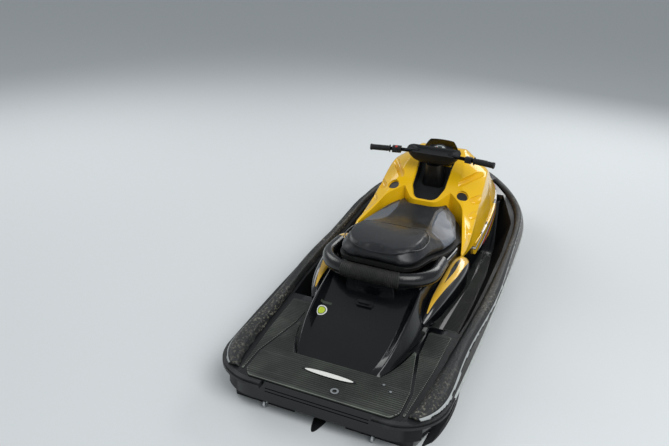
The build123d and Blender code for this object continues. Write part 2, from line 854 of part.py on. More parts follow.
# Grab handle round the back of the seat
HANDLE_FRONT_X = -530
HANDLE_REAR_X = -832
HANDLE_FRONT_Z = 436
HANDLE_REAR_Z = 447
HANDLE_HALF_SPAN = 276
HANDLE_BEND = 186
HANDLE_WIDTH = 62
HANDLE_HEIGHT = 76


def grab_handle():
    run = Vector(HANDLE_REAR_X - HANDLE_FRONT_X, 0, HANDLE_REAR_Z - HANDLE_FRONT_Z)
    plane = Plane(
        origin=(HANDLE_FRONT_X, 0, HANDLE_FRONT_Z), x_dir=run, z_dir=run.cross(Vector(0, 1, 0))
    )
    span = HANDLE_HALF_SPAN
    length = run.length
    bend = FilletPolyline(
        (0, span), (length, span), (length, -span), (0, -span), radius=HANDLE_BEND
    )
    path = plane * bend
    start = Plane(origin=path @ 0, x_dir=plane.z_dir, z_dir=path % 0)
    bar = sweep(start * Ellipse(HANDLE_HEIGHT / 2, HANDLE_WIDTH / 2), path)
    front_foot = loft(
        [
            Plane(origin=(-575, 246, 376)) * RectangleRounded(84, 50, 20),
            Plane(origin=(-575, span - 4, 424)) * RectangleRounded(84, 44, 20),
        ]
    )
    feet = front_foot + other_side(front_foot)
    return (bar + feet) - core_body() - core_tail() - handle_post()


LATCH_Z = 310


def seat_latch():
    """Pull handle of the seat's catch, on the tail panel."""
    plane = Plane(origin=(-880, 0, LATCH_Z), x_dir=(0, 1, 0), z_dir=(-0.4, 0, 0.92))
    plate = extrude(plane * RectangleRounded(84, 34, 12), 9)
    grip = extrude(plane * Pos(0, 2, 9) * RectangleRounded(60, 12, 5), 10)
    return (plate + grip) - core_tail()


# Hood over the bow bin, hinged at its front edge
HOOD_ROWS = [
    # x, lower edge y z, shoulder y z, top edge y z
    (HOOD_REAR_X, 340, 372, 283, 604, 140, 714),
    (800, 322, 376, 258, 532, 126, 622),
    (1050, 262, 386, 204, 452, 96, 504),
    (HOOD_FRONT_X, 138, 400, 98, 416, 52, 430),
]


def hood_loft(inset, end_wall=0):
    faces = []
    for x, y0, z0, y1, z1, y2, z2 in HOOD_ROWS:
        half = [
            (y0 - inset, z0 - inset / 2),
            (y1 - inset, z1 - 0.7 * inset),
            (y2 - inset / 2, z2 - inset),
        ]
        if x == HOOD_FRONT_X:
            x = x - end_wall
        faces.append(full_section(x, half, [1, max(26 - inset, 8), max(20 - inset, 8)]))
    return loft(faces)


# Hinge under the front edge of the hood
HINGE_X = 1266
HINGE_Z = 388
HINGE_PIN = 5
HINGE_BOSS = 10
HINGE_LUG_HALF = 26
HINGE_EAR_HALF = 34


def hinge_bar(half_width, radius):
    return rod((HINGE_X, -half_width, HINGE_Z), (HINGE_X, half_width, HINGE_Z), radius)


def hood():
    """Hollow lid with the lug that turns on the hinge pin."""
    shell = hood_loft(0) - hood_loft(HOOD_WALL, HOOD_WALL)
    web = box_between(
        HINGE_X - HINGE_BOSS, HINGE_X + HINGE_BOSS, -HINGE_LUG_HALF, HINGE_LUG_HALF,
        HINGE_Z, HINGE_Z + 22,
    )
    lug = hinge_bar(HINGE_LUG_HALF, HINGE_BOSS) + web
    return shell + lug - hinge_bar(HINGE_LUG_HALF + 5, HINGE_PIN + SHAFT_FIT)


def hood_hinge():
    """Bracket on the deck: two ears and the pin between them."""
    pin = hinge_bar(HINGE_EAR_HALF, HINGE_PIN)
    bracket = box_between(
        HINGE_X - HINGE_BOSS, HINGE_X + HINGE_BOSS, -HINGE_EAR_HALF, HINGE_EAR_HALF, 300, HINGE_Z
    )
    ears = bracket + hinge_bar(HINGE_EAR_HALF, HINGE_BOSS)
    gap = box_between(
        HINGE_X - 30, HINGE_X + 30, -HINGE_LUG_HALF - 1, HINGE_LUG_HALF + 1, 372, 420
    )
    return ((ears - gap) & sheer_band(DECK_THICK + JOINT_GAP, 200)) + pin


# Column cover in the hollow, and the gauge pod ahead of the bars

def column_frame():
    """The steering column's plane: x to port, y rearward, z up the column."""
    lean = math.radians(COLUMN_LEAN)
    axis = (-math.sin(lean), 0, math.cos(lean))
    return Plane(origin=(COLUMN_X, 0, COLUMN_Z), x_dir=(0, 1, 0), z_dir=axis)


COVER_TOP = -62
COVER_FOOT = -250
STUB_TOP = 10
STUB_FOOT = -130


def column_cover():
    """Moulded neck under the handlebar, standing on the floor of the hollow."""
    frame = column_frame()
    top = frame * Pos(0, 0, COVER_TOP) * RectangleRounded(92, 74, 30)
    foot = frame * Pos(0, 0, COVER_FOOT) * RectangleRounded(150, 130, 30)
    neck = loft([foot, top])
    bore = frame * Pos(0, 0, STUB_FOOT - 2) * extrude(Circle(COLUMN_RADIUS + SHAFT_FIT), 90)
    back = box_between(RECESS_BACK_X - 2 * LINER_WALL, 700, -200, 200, 300, 900)
    floor_rise = -RECESS_DEPTH + LINER_WALL + 2 * JOINT_GAP
    below = slope_plane(floor_rise) * Pos(200, 0, -200) * Box(900, 600, 400)
    return neck - bore - back - below


POD_REAR_X = 311


def gauge_pod():
    """Housing for the gauge, standing out from the back wall of the hollow."""
    half = GAUGE_WALL_HALF
    low = GAUGE_WALL_LOW
    corners = [(half, low), (half, 770), (-half, 770), (-half, low)]
    wall = cross_section(RECESS_BACK_X, corners, [24] * 4)
    rear = cross_section(POD_REAR_X, [(66, 705), (66, 756), (-66, 756), (-66, 705)], [20] * 4)
    return loft([rear, wall]) - gauge()


GAUGE_X = 362
GAUGE_Z = 764
GAUGE_RADIUS = 44


def gauge():
    """Round instrument with a raised rim, let into its pod."""
    plane = Plane(origin=(GAUGE_X, 0, GAUGE_Z), x_dir=(0, 1, 0), z_dir=(-0.3, 0, 0.95))
    body = extrude(plane * Circle(GAUGE_RADIUS), -22)
    rim = extrude(plane * (Circle(GAUGE_RADIUS) - Circle(GAUGE_RADIUS - 6)), 5)
    return body + rim


VISOR_FOOT_Z = 735
VISOR_TOP_Z = 803


def visor():
    """Smoked screen that wraps round the front of the gauge."""
    foot = Plane(origin=(400, 0, VISOR_FOOT_Z), x_dir=(0, 1, 0))
    head = Plane(origin=(392, 0, VISOR_TOP_Z), x_dir=(0, 1, 0))
    outer = loft([foot * Ellipse(118, 100), head * Ellipse(92, 52)])
    inner = loft([foot * Ellipse(114, 96), head * Ellipse(88, 48)])
    shell = (outer - inner) & box_between(RECESS_BACK_X + 4, 600, -200, 200, 700, 900)
    return shell - cowl_loft()


# Handlebar group, in the column's plane
BAR_POINTS = [
    # to port, rearward, up the column
    (85, 0, 8),
    (172, 46, 43),
    (GRIP_END_Y - 4, 72, 49),
]
BAR_BEND = 40
PAD_TOP = 30
PAD_FOOT = -42


def handlebar():
    """Bent tube from grip to grip, and the stub that turns in the column."""
    frame = column_frame()
    port = [Vector(*point) for point in BAR_POINTS]
    starboard = [Vector(-v.X, v.Y, v.Z) for v in reversed(port)]
    path = frame * FilletPolyline(*starboard, *port, radius=BAR_BEND)
    tube = sweep(Plane(origin=path @ 0, z_dir=path % 0) * Circle(BAR_RADIUS), path)
    stub = frame * Pos(0, 0, STUB_FOOT) * extrude(Circle(COLUMN_RADIUS), STUB_TOP - STUB_FOOT)
    return tube + stub


def handlebar_pad():
    frame = column_frame()
    foot = frame * Pos(0, 6, PAD_FOOT) * RectangleRounded(150, 64, 24)
    waist = frame * Pos(0, 0, -12) * RectangleRounded(280, 84, 30)
    head = frame * Pos(0, 2, PAD_TOP) * RectangleRounded(326, 74, 34)
    body = loft([foot, waist, head])
    dish = loft(
        [
            frame * Pos(0, 2, 20) * RectangleRounded(230, 40, 18),
            frame * Pos(0, 2, PAD_TOP + 1) * RectangleRounded(302, 54, 26),
        ]
    )
    return body - dish - handlebar()


def grip_axis():
    """Start and end of the straight outer run of the bar, port side."""
    frame = column_frame()
    inner = frame.from_local_coords(Vector(*BAR_POINTS[-2]))
    outer = frame.from_local_coords(Vector(*BAR_POINTS[-1]))
    return inner, outer


def on_bar(distance):
    """A plane across the bar, this far in from its port end, facing outward."""
    inner, outer = grip_axis()
    way = (outer - inner).normalized()
    return Plane(origin=outer - way * distance, z_dir=way)


def grip():
    length = GRIP_LENGTH
    plane = on_bar(length - 6)
    sleeve = extrude(plane * Circle(GRIP_RADIUS), length)
    flange = extrude(plane * Circle(GRIP_RADIUS + 6), 5)
    cap_end = extrude(on_bar(2) * Circle(GRIP_RADIUS + 2), 8)
    bore = extrude(plane * Circle(BAR_RADIUS), length - 6)
    return sleeve + flange + cap_end - bore


# Hand controls, placed by their distance in from the end of the bar
SWITCH_INNER = 178
SWITCH_LENGTH = 52
THROTTLE_INNER = 162
THROTTLE_LENGTH = 36
LEVER_PIVOT = 150


def bar_bore():
    return extrude(on_bar(260) * Circle(BAR_RADIUS), 200)


def switch_pod():
    """Stop and start switches on the port bar."""
    body = extrude(on_bar(SWITCH_INNER) * RectangleRounded(44, 40, 12), SWITCH_LENGTH)
    middle = on_bar(SWITCH_INNER - SWITCH_LENGTH / 2).origin
    stop = extrude(Plane(origin=middle, z_dir=(-0.6, 0, 0.8)) * Circle(9), 25)
    start = extrude(Plane(origin=middle, z_dir=(-1, 0, -0.1)) * Circle(8), 27)
    return body + stop + start - bar_bore()


def throttle():
    """Clamp and finger lever on the starboard bar, drawn to port and mirrored."""
    clamp = extrude(on_bar(THROTTLE_INNER) * RectangleRounded(40, 38, 12), THROTTLE_LENGTH)
    outline = [(0, 0), (14, 0), (22, 40), (12, 108), (2, 108), (8, 44)]
    face = rounded(outline, [2, 3, 12, 5, 4, 12])
    root = on_bar(LEVER_PIVOT).origin + Vector(28, 0, -6)
    lever = extrude(Plane(origin=root, x_dir=(1, 0, 0), z_dir=(0.1, 0, 1)) * face, 8)
    arm = box_between(root.X - 20, root.X + 6, root.Y - 2, root.Y + 14, root.Z - 2, root.Z + 9)
    return other_side(clamp + lever + arm - bar_bore())


# Jet drive

ENGINE_REAR_X = (BAY_REAR_X + BAY_FRONT_X) / 2 - ENGINE_LENGTH / 2
SHAFT_SOCKET = 40


def engine_block():
    block = box_between(
        ENGINE_REAR_X, ENGINE_REAR_X + ENGINE_LENGTH, -ENGINE_WIDTH / 2, ENGINE_WIDTH / 2,
        BAY_FLOOR_Z, BAY_FLOOR_Z + ENGINE_HEIGHT,
    )
    socket = along_x(ENGINE_REAR_X - 1, ENGINE_REAR_X + SHAFT_SOCKET, SHAFT_RADIUS + SHAFT_FIT)
    return block - socket


def helix_blade(x0, length, inner, outer, thick, twist):
    """One blade: a radial bar drawn along the shaft while it turns."""
    bar = Pos((inner + outer) / 2, 0) * Rectangle(outer - inner, thick)
    face = Plane(origin=(x0, 0, JET_Z), x_dir=(0, 1, 0), z_dir=(1, 0, 0)) * bar
    return Solid.extrude_linear_with_rotation(
        face.face(), (x0, 0, JET_Z), (length, 0, 0), twist
    )


def about_jet(shape, angle):
    return shape.rotate(Axis((0, 0, JET_Z), (1, 0, 0)), angle)


IMPELLER_X = TUNNEL_FRONT_X - 14 - IMPELLER_LENGTH
STATOR_LENGTH = 80
TAIL_BEARING = 60


def impeller():
    hub = along_x(IMPELLER_X, IMPELLER_X + IMPELLER_LENGTH, HUB_RADIUS)
    nose = cone_along_x(
        IMPELLER_X + IMPELLER_LENGTH, HUB_RADIUS, IMPELLER_X + IMPELLER_LENGTH + 34, 15
    )
    shape = hub + nose
    blade = helix_blade(
        IMPELLER_X + 4, IMPELLER_LENGTH - 8, HUB_RADIUS - 4, PUMP_BORE - BLADE_TIP_GAP, 6, 80
    )
    for turn in range(IMPELLER_BLADES):
        shape = shape + about_jet(blade, turn * 360 / IMPELLER_BLADES)
    return shape - along_x(IMPELLER_X - 5, IMPELLER_X + 200, SHAFT_RADIUS)


def drive_shaft():
    return along_x(IMPELLER_X - TAIL_BEARING, ENGINE_REAR_X + SHAFT_SOCKET - 2, SHAFT_RADIUS)


def pump_housing():
    """Straight barrel round the impeller, with its front flange and stator."""
    barrel = along_x(PUMP_REAR_X, TUNNEL_FRONT_X, PUMP_BORE + PUMP_WALL)
    flange = along_x(TUNNEL_FRONT_X - 12, TUNNEL_FRONT_X, PUMP_FLANGE)
    shape = barrel + flange - along_x(PUMP_REAR_X - 1, TUNNEL_FRONT_X + 1, PUMP_BORE)
    hub_front = IMPELLER_X - 4
    hub = along_x(hub_front - STATOR_LENGTH, hub_front, HUB_RADIUS)
    tail = cone_along_x(hub_front - STATOR_LENGTH - 70, 8, hub_front - STATOR_LENGTH, HUB_RADIUS)
    shape = shape + hub + tail
    vane = helix_blade(
        hub_front - STATOR_LENGTH + 4, STATOR_LENGTH - 8, HUB_RADIUS - 4, PUMP_BORE + 2, 5, -28
    )
    for turn in range(STATOR_VANES):
        shape = shape + about_jet(vane, turn * 360 / STATOR_VANES)
    return shape - along_x(IMPELLER_X - TAIL_BEARING - 2, IMPELLER_X + 5, SHAFT_RADIUS + SHAFT_FIT)


def discharge_nozzle():
    """Cone that speeds the water up, and the pins that the steering nozzle turns on."""
    neck_x = PUMP_REAR_X - 60
    outer = cone_along_x(neck_x, OUTLET_RADIUS, PUMP_REAR_X, PUMP_BORE + PUMP_WALL)
    inner = cone_along_x(neck_x, OUTLET_BORE, PUMP_REAR_X, PUMP_BORE)
    pipe = along_x(OUTLET_END_X, neck_x, OUTLET_RADIUS)
    bore = along_x(OUTLET_END_X - 1, neck_x, OUTLET_BORE)
    shape = outer + pipe
    for side in (1, -1):
        root = (NOZZLE_PIVOT_X, 0, JET_Z + side * (OUTLET_RADIUS - 4))
        shoulder = (NOZZLE_PIVOT_X, 0, JET_Z + side * (NOZZLE_BORE - 4))
        tip = (NOZZLE_PIVOT_X, 0, JET_Z + side * (NOZZLE_RADIUS + 3))
        shape = shape + rod(root, shoulder, 10) + rod(root, tip, PIN_RADIUS)
    return shape - inner - bore


def steering_nozzle():
    """Tapered spout on two upright pins, with the arm its cable pulls."""
    front_x = NOZZLE_PIVOT_X + 9
    outer = cone_along_x(NOZZLE_END_X, NOZZLE_END_RADIUS, front_x, NOZZLE_RADIUS)
    inner = cone_along_x(NOZZLE_END_X, NOZZLE_END_BORE, front_x, NOZZLE_BORE)
    lug_z = NOZZLE_RADIUS - 4
    lugs = rod(
        (NOZZLE_PIVOT_X, 0, JET_Z - lug_z), (NOZZLE_PIVOT_X, 0, JET_Z + lug_z), 13
    )
    arm_x = NOZZLE_PIVOT_X - 17
    arm = box_between(arm_x - 13, arm_x + 13, -96, -50, JET_Z - 6, JET_Z + 6)
    ball = rod((arm_x, -84, JET_Z - 10), (arm_x, -84, JET_Z + 10), 6)
    pin_hole = rod(
        (NOZZLE_PIVOT_X, 0, JET_Z - 100), (NOZZLE_PIVOT_X, 0, JET_Z + 100), PIN_RADIUS + SHAFT_FIT
    )
    clear = along_x(NOZZLE_END_X, front_x + 5, NOZZLE_BORE - 1)
    shape = outer + lugs + arm + ball
    hollow = inner + (clear & box_between(NOZZLE_PIVOT_X - 14, front_x + 5, -60, 60, -200, 200))
    return shape - hollow - pin_hole


def ride_plate():
    plate = box_between(
        HULL_TRANSOM_X - 6, TUNNEL_FRONT_X, -TUNNEL_RADIUS, TUNNEL_RADIUS,
        RIDE_PLATE_Z, RIDE_PLATE_Z + RIDE_PLATE_THICK,
    )
    for side in (-1, 1):
        outer_y = side * TUNNEL_RADIUS
        plate = plate + box_between(
            HULL_TRANSOM_X, TUNNEL_FRONT_X, outer_y - side * 8, outer_y,
            RIDE_PLATE_Z, RIDE_PLATE_Z + RIDE_PLATE_FLANGE,
        )
    for y in (-80, 0, 80):
        plate = plate + box_between(
            HULL_TRANSOM_X + 20, TUNNEL_FRONT_X - 20, y - 4, y + 4,
            RIDE_PLATE_Z - 8, RIDE_PLATE_Z,
        )
    return plate


GRATE_FRONT_X = TUNNEL_FRONT_X + 415
GRATE_REAR_X = TUNNEL_FRONT_X + 30
GRATE_TOP_Z = -170
GRATE_BAR_DEPTH = 20
GRATE_BAR_WIDTH = 10
GRATE_PITCH = 30


def intake_grate():
    """Bars along the mouth of the scoop, joined by a cross bar near each end."""
    low_z = GRATE_TOP_Z - GRATE_BAR_DEPTH
    shape = Part()
    for step in (-2, -1, 0, 1, 2):
        y = step * GRATE_PITCH
        shape = shape + box_between(
            GRATE_REAR_X, GRATE_FRONT_X, y - GRATE_BAR_WIDTH / 2, y + GRATE_BAR_WIDTH / 2,
            low_z, GRATE_TOP_Z,
        )
    for x in (GRATE_REAR_X + 24, GRATE_FRONT_X - 34):
        shape = shape + box_between(
            x - 8, x + 8, -DUCT_HALF_WIDTH, DUCT_HALF_WIDTH, low_z + 6, GRATE_TOP_Z
        )
    return shape


# Sponsons low on the hull sides
SPONSON_ROWS = [
    # x, inner foot y z, outer foot y z, outer shoulder y z, inner shoulder y z
    (X_STERN + 125, [(420, -48), (466, -40), (470, -4), (440, 2)]),
    (X_STERN + 465, [(436, -50), (508, -30), (512, 8), (460, 6)]),
    (X_STERN + 665, [(450, -38), (480, -30), (484, -4), (460, 0)]),
]


def sponson():
    return loft(
        [
            cross_section(x, corners, [6, 8, 8, 4])
            for x, corners in SPONSON_ROWS
        ]
    )


# Eyes for a tow line and for mooring
EYE_HOLE = 9
EYE_RADIUS = 20
EYE_THICK = 10
BOW_EYE = (X_BOW - 93, 0, 150)
STERN_EYE = (X_STERN + 64, 250, 20)


def eye(centre, root):
    """A flat lug with a cross hole, from its root to the hole."""
    plane = side_plane(centre[1])
    spot = (centre[0], centre[2])
    disc = Pos(*spot) * Circle(EYE_RADIUS)
    lean = math.degrees(math.atan2(centre[2] - root[1], centre[0] - root[0]))
    length = math.hypot(centre[0] - root[0], centre[2] - root[1])
    middle = ((spot[0] + root[0]) / 2, (spot[1] + root[1]) / 2)
    strap = Pos(*middle) * Rot(0, 0, lean) * Rectangle(length, 2 * EYE_RADIUS)
    face = disc + strap - Pos(*spot) * Circle(EYE_HOLE)
    return extrude(plane * face, EYE_THICK / 2, both=True)


def bow_eye():
    return eye(BOW_EYE, (BOW_EYE[0] - 60, BOW_EYE[2] + 20))


def stern_eyes():
    port = eye(STERN_EYE, (HULL_TRANSOM_X, STERN_EYE[2]))
    return Compound(children=[port.solid(), other_side(port).solid()])


FITTINGS = [
    # x, y, radius, radius of the hole
    (X_STERN + 79, -63, 18, 10),
    (X_STERN + 203, -236, 6, 0),
    (X_STERN + 172, -276, 6, 0),
]


def deck_fittings():
    """A ring and two screws set on the rear mat."""
    pieces = []
    for x, y, radius, hole in FITTINGS:
        face = Circle(radius)
        if hole:
            face = face - Circle(hole)
        height = sheer(x) + DECK_THICK + MAT_THICK + JOINT_GAP
        place = Pos(x, y, height) * Rot(0, -math.degrees(AFT_ANGLE), 0)
        pieces.append((place * extrude(face, 4)).solid())
    return Compound(children=pieces)


def save_pair(name, shape):
    save(name + "_port", shape)
    save(name + "_starboard", other_side(shape))


hull = lower_hull()
deck_shell = deck()
cowl = front_cowl()
save("lower_hull", hull)
save("deck", deck_shell)
save("front_cowl", cowl)
bow_bumper, stern_bumper, rub_rail = rail_pieces()
save("bow_bumper", bow_bumper)
save_pair("stern_bumper", stern_bumper)
save_pair("rub_rail", rub_rail)
save_pair("gunwale_pad", gunwale_pad())
save("rear_deck_mat", rear_deck_mat() - mat_badge())
save("mat_badge", mat_badge())
save_pair("ramp_mat", ramp_mat())
save_pair("footwell_mat", footwell_mat())
save("console", console())
save("cowl_caps", cowl_caps())
save_pair("side_panel", side_panel())
save_pair("side_pod", side_pod())
save("seat", seat())
save("seat_pan", seat_pan())
save("grab_handle", grab_handle())
save("seat_latch", seat_latch())
save("hood", hood())
save("hood_hinge", hood_hinge())
pod = gauge_pod() - cowl
save("column_cover", column_cover() - cowl - pod)
save("gauge_pod", pod)
save("gauge", gauge())
save("visor", visor())
save("handlebar", handlebar())
save("handlebar_pad", handlebar_pad())
save_pair("grip", grip())
save("switch_pod", switch_pod())
save("throttle", throttle())
save("engine_block", engine_block())
save("impeller", impeller())
save("drive_shaft", drive_shaft())
save("pump_housing", pump_housing())
save("discharge_nozzle", discharge_nozzle())
save("steering_nozzle", steering_nozzle())
save("ride_plate", ride_plate())
save("intake_grate", intake_grate() - hull)
outer_sponson = sponson() - hull
save("sponsons", Compound(children=[outer_sponson.solid(), other_side(outer_sponson).solid()]))
save("bow_eye", bow_eye() - hull)
save("stern_eyes", stern_eyes())
save("deck_fittings", deck_fittings())
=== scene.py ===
import json
import math

import bmesh
import bpy
from mathutils import Matrix, Vector
from mathutils.bvhtree import BVHTree
from mathutils.kdtree import KDTree


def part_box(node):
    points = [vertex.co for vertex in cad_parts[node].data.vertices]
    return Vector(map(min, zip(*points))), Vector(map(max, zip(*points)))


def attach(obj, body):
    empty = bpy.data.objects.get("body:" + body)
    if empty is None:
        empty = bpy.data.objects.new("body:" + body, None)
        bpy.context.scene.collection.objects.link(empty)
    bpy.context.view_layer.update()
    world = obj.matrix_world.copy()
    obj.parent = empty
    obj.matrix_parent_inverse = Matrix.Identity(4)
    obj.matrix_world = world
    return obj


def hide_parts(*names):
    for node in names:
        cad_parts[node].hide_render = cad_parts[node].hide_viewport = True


# Personal watercraft afloat. Metres: X to the bow, Y to port, Z up from the waterline.

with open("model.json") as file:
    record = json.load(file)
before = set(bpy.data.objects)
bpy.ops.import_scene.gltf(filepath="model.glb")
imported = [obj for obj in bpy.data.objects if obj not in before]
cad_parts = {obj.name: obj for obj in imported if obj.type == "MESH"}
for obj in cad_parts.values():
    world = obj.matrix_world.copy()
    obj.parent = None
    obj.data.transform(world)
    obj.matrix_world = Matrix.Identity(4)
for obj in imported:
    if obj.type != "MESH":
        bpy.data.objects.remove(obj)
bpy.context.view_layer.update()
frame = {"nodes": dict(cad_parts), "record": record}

# Sheer line, where hull and deck are joined: two straight runs that meet at a knee
SHEER_KNEE_X = 0.076
SHEER_KNEE_Z = 0.205
SHEER_AFT_SLOPE = 0.0356
SHEER_FORE_SLOPE = 0.1211
SHEER_BLEND = 0.035


# Colours and nodes

def linear(code):
    """An sRGB hex colour as the linear colour that a shader socket takes."""
    channels = []
    for start in (1, 3, 5):
        value = int(code[start:start + 2], 16) / 255
        channels.append(value / 12.92 if value <= 0.04045 else ((value + 0.055) / 1.055) ** 2.4)
    return (*channels, 1.0)


def fill(material, node, inputs):
    """Gives a node's inputs their values, hex colours or the sockets that feed them."""
    for key, value in inputs.items():
        if isinstance(value, bpy.types.NodeSocket):
            material.node_tree.links.new(value, node.inputs[key])
        else:
            node.inputs[key].default_value = linear(value) if isinstance(value, str) else value


def add(material, kind, inputs=None, result=0, **settings):
    """One node with its settings and links, and the socket that it gives."""
    made = material.node_tree.nodes.new(kind)
    for name, value in settings.items():
        setattr(made, name, value)
    fill(material, made, inputs or {})
    return made.outputs[result]


def finish(material, inputs):
    """What the material's shader takes."""
    fill(material, material.node_tree.nodes["Principled BSDF"], inputs)


def new_material(name, colour, roughness, metallic=0.0, coat=0.0):
    """A material with plain values, and the Object coordinates, in metres, that a pattern reads."""
    material = bpy.data.materials.new(name)
    material.use_nodes = True
    finish(material, {
        "Base Color": colour, "Roughness": roughness, "Metallic": metallic,
        "Coat Weight": coat, "Coat Roughness": 0.04,
    })
    return material, add(material, "ShaderNodeTexCoord", result="Object")


def axes(material, place):
    """The x of a point, how far it lies from the middle line, its z and its y."""
    split = add(material, "ShaderNodeSeparateXYZ", {"Vector": place}).node.outputs
    side = add(material, "ShaderNodeMath", {0: split["Y"]}, operation="ABSOLUTE")
    return split["X"], side, split["Z"], split["Y"]


def above(material, value, edge_value, softness):
    """1 where value is over edge_value, which may vary; softness is the width of the edge."""
    gap = add(material, "ShaderNodeMath", {0: value, 1: edge_value}, operation="SUBTRACT")
    return add(
        material, "ShaderNodeMapRange",
        {"Value": gap, "From Min": -softness / 2, "From Max": softness / 2},
    )


def band(material, value, low, high, softness):
    """1 where value lies from low to high, with an edge this wide."""
    over_low = above(material, value, low, softness)
    over_high = above(material, value, high, softness)
    return add(material, "ShaderNodeMath", {0: over_low, 1: over_high}, operation="SUBTRACT")


def lay_points(curve, points):
    """Puts a curve's points where they are drawn, with straight runs between them."""
    line = curve.curves[0]
    while len(line.points) < len(points):
        line.points.new(0.5, 0.5)
    for made, spot in zip(line.points, points):
        made.location = spot
        made.handle_type = "VECTOR"
    curve.update()


def over_sheer(material, x, z):
    """Height over the joint line, which is the higher of two straight runs, blended."""
    along = add(material, "ShaderNodeMath", {0: x, 1: SHEER_KNEE_X}, operation="SUBTRACT")
    runs = [
        add(
            material, "ShaderNodeMath", {0: along, 1: slope, 2: SHEER_KNEE_Z},
            operation="MULTIPLY_ADD",
        )
        for slope in (SHEER_AFT_SLOPE, SHEER_FORE_SLOPE)
    ]
    joint = add(
        material, "ShaderNodeMath", {0: runs[0], 1: runs[1], 2: SHEER_BLEND},
        operation="SMOOTH_MAX",
    )
    return add(material, "ShaderNodeMath", {0: z, 1: joint}, operation="SUBTRACT")


# Materials. Scales are one over the real length, in metres, of what repeats.

GLOSS_COAT = 0.35
# Where it is dull, gelcoat has no coat and is this much rougher; the edge is DULL_EDGE wide
DULL_ROUGHER = 0.35
DULL_EDGE = 0.02


def polished_gelcoat(name, colour, worn, dull_from=1.0):
    """Gelcoat from a polished mould: deep gloss, a slow ripple, hazy patches; dull at the sides."""
    material, place = new_material(name, colour, 0.16, coat=GLOSS_COAT)
    ripple = add(
        material, "ShaderNodeTexNoise", {"Vector": place, "Scale": 1 / 0.11, "Detail": 1.0}
    )
    haze = add(
        material, "ShaderNodeTexNoise", {"Vector": place, "Scale": 1 / 0.35, "Detail": 4.0}
    )
    rough = add(
        material, "ShaderNodeMapRange",
        {"Value": haze, "From Min": 0.35, "From Max": 0.7, "To Min": 0.12, "To Max": 0.3},
    )
    side = axes(material, place)[1]
    dull = above(material, side, dull_from, DULL_EDGE)
    finish(material, {
        "Specular IOR Level": 0.3,
        "Normal": add(
            material, "ShaderNodeBump", {"Height": ripple, "Distance": 0.0008, "Strength": 0.4}
        ),
        "Roughness": add(
            material, "ShaderNodeMath", {0: dull, 1: DULL_ROUGHER, 2: rough},
            operation="MULTIPLY_ADD",
        ),
        "Coat Weight": add(
            material, "ShaderNodeMath", {0: dull, 1: -GLOSS_COAT, 2: GLOSS_COAT},
            operation="MULTIPLY_ADD",
        ),
        "Base Color": add(
            material, "ShaderNodeMix", {"Factor": haze, "A": colour, "B": worn}, "Result",
            data_type="RGBA",
        ),
    })
    return material


def moulded_plastic(name, colour, lighter, roughness, grain):
    """Injection-moulded plastic or rubber: an even spark-eroded grain, scuffed lighter in places."""
    material, place = new_material(name, colour, roughness)
    pits = add(
        material, "ShaderNodeTexNoise", {"Vector": place, "Scale": 1 / grain, "Detail": 2.0}
    )
    wear = add(
        material, "ShaderNodeTexNoise", {"Vector": place, "Scale": 1 / 0.06, "Detail": 5.0}
    )
    scuffs = add(
        material, "ShaderNodeMapRange", {"Value": wear, "From Min": 0.5, "From Max": 0.75}
    )
    finish(material, {
        "Normal": add(
            material, "ShaderNodeBump",
            {"Height": pits, "Distance": grain * 0.12, "Strength": 0.5},
        ),
        "Base Color": add(
            material, "ShaderNodeMix", {"Factor": scuffs, "A": colour, "B": lighter}, "Result",
            data_type="RGBA",
        ),
    })
    return material


# Pale strip on the pad's outer foot, and above it a band painted near black as the shade in the
# groove: heights above the sheer, and the sharp edge
STRIP_LOW = 0.010
STRIP_HIGH = 0.0285
FOOT_GROOVE_SHADE_HIGH = 0.033
PRINT_EDGE = 0.001
# A face whose normal leans outward by this much is on the pad's outer side
OUTER_LEAN = 0.3
OUTER_EDGE = 0.1


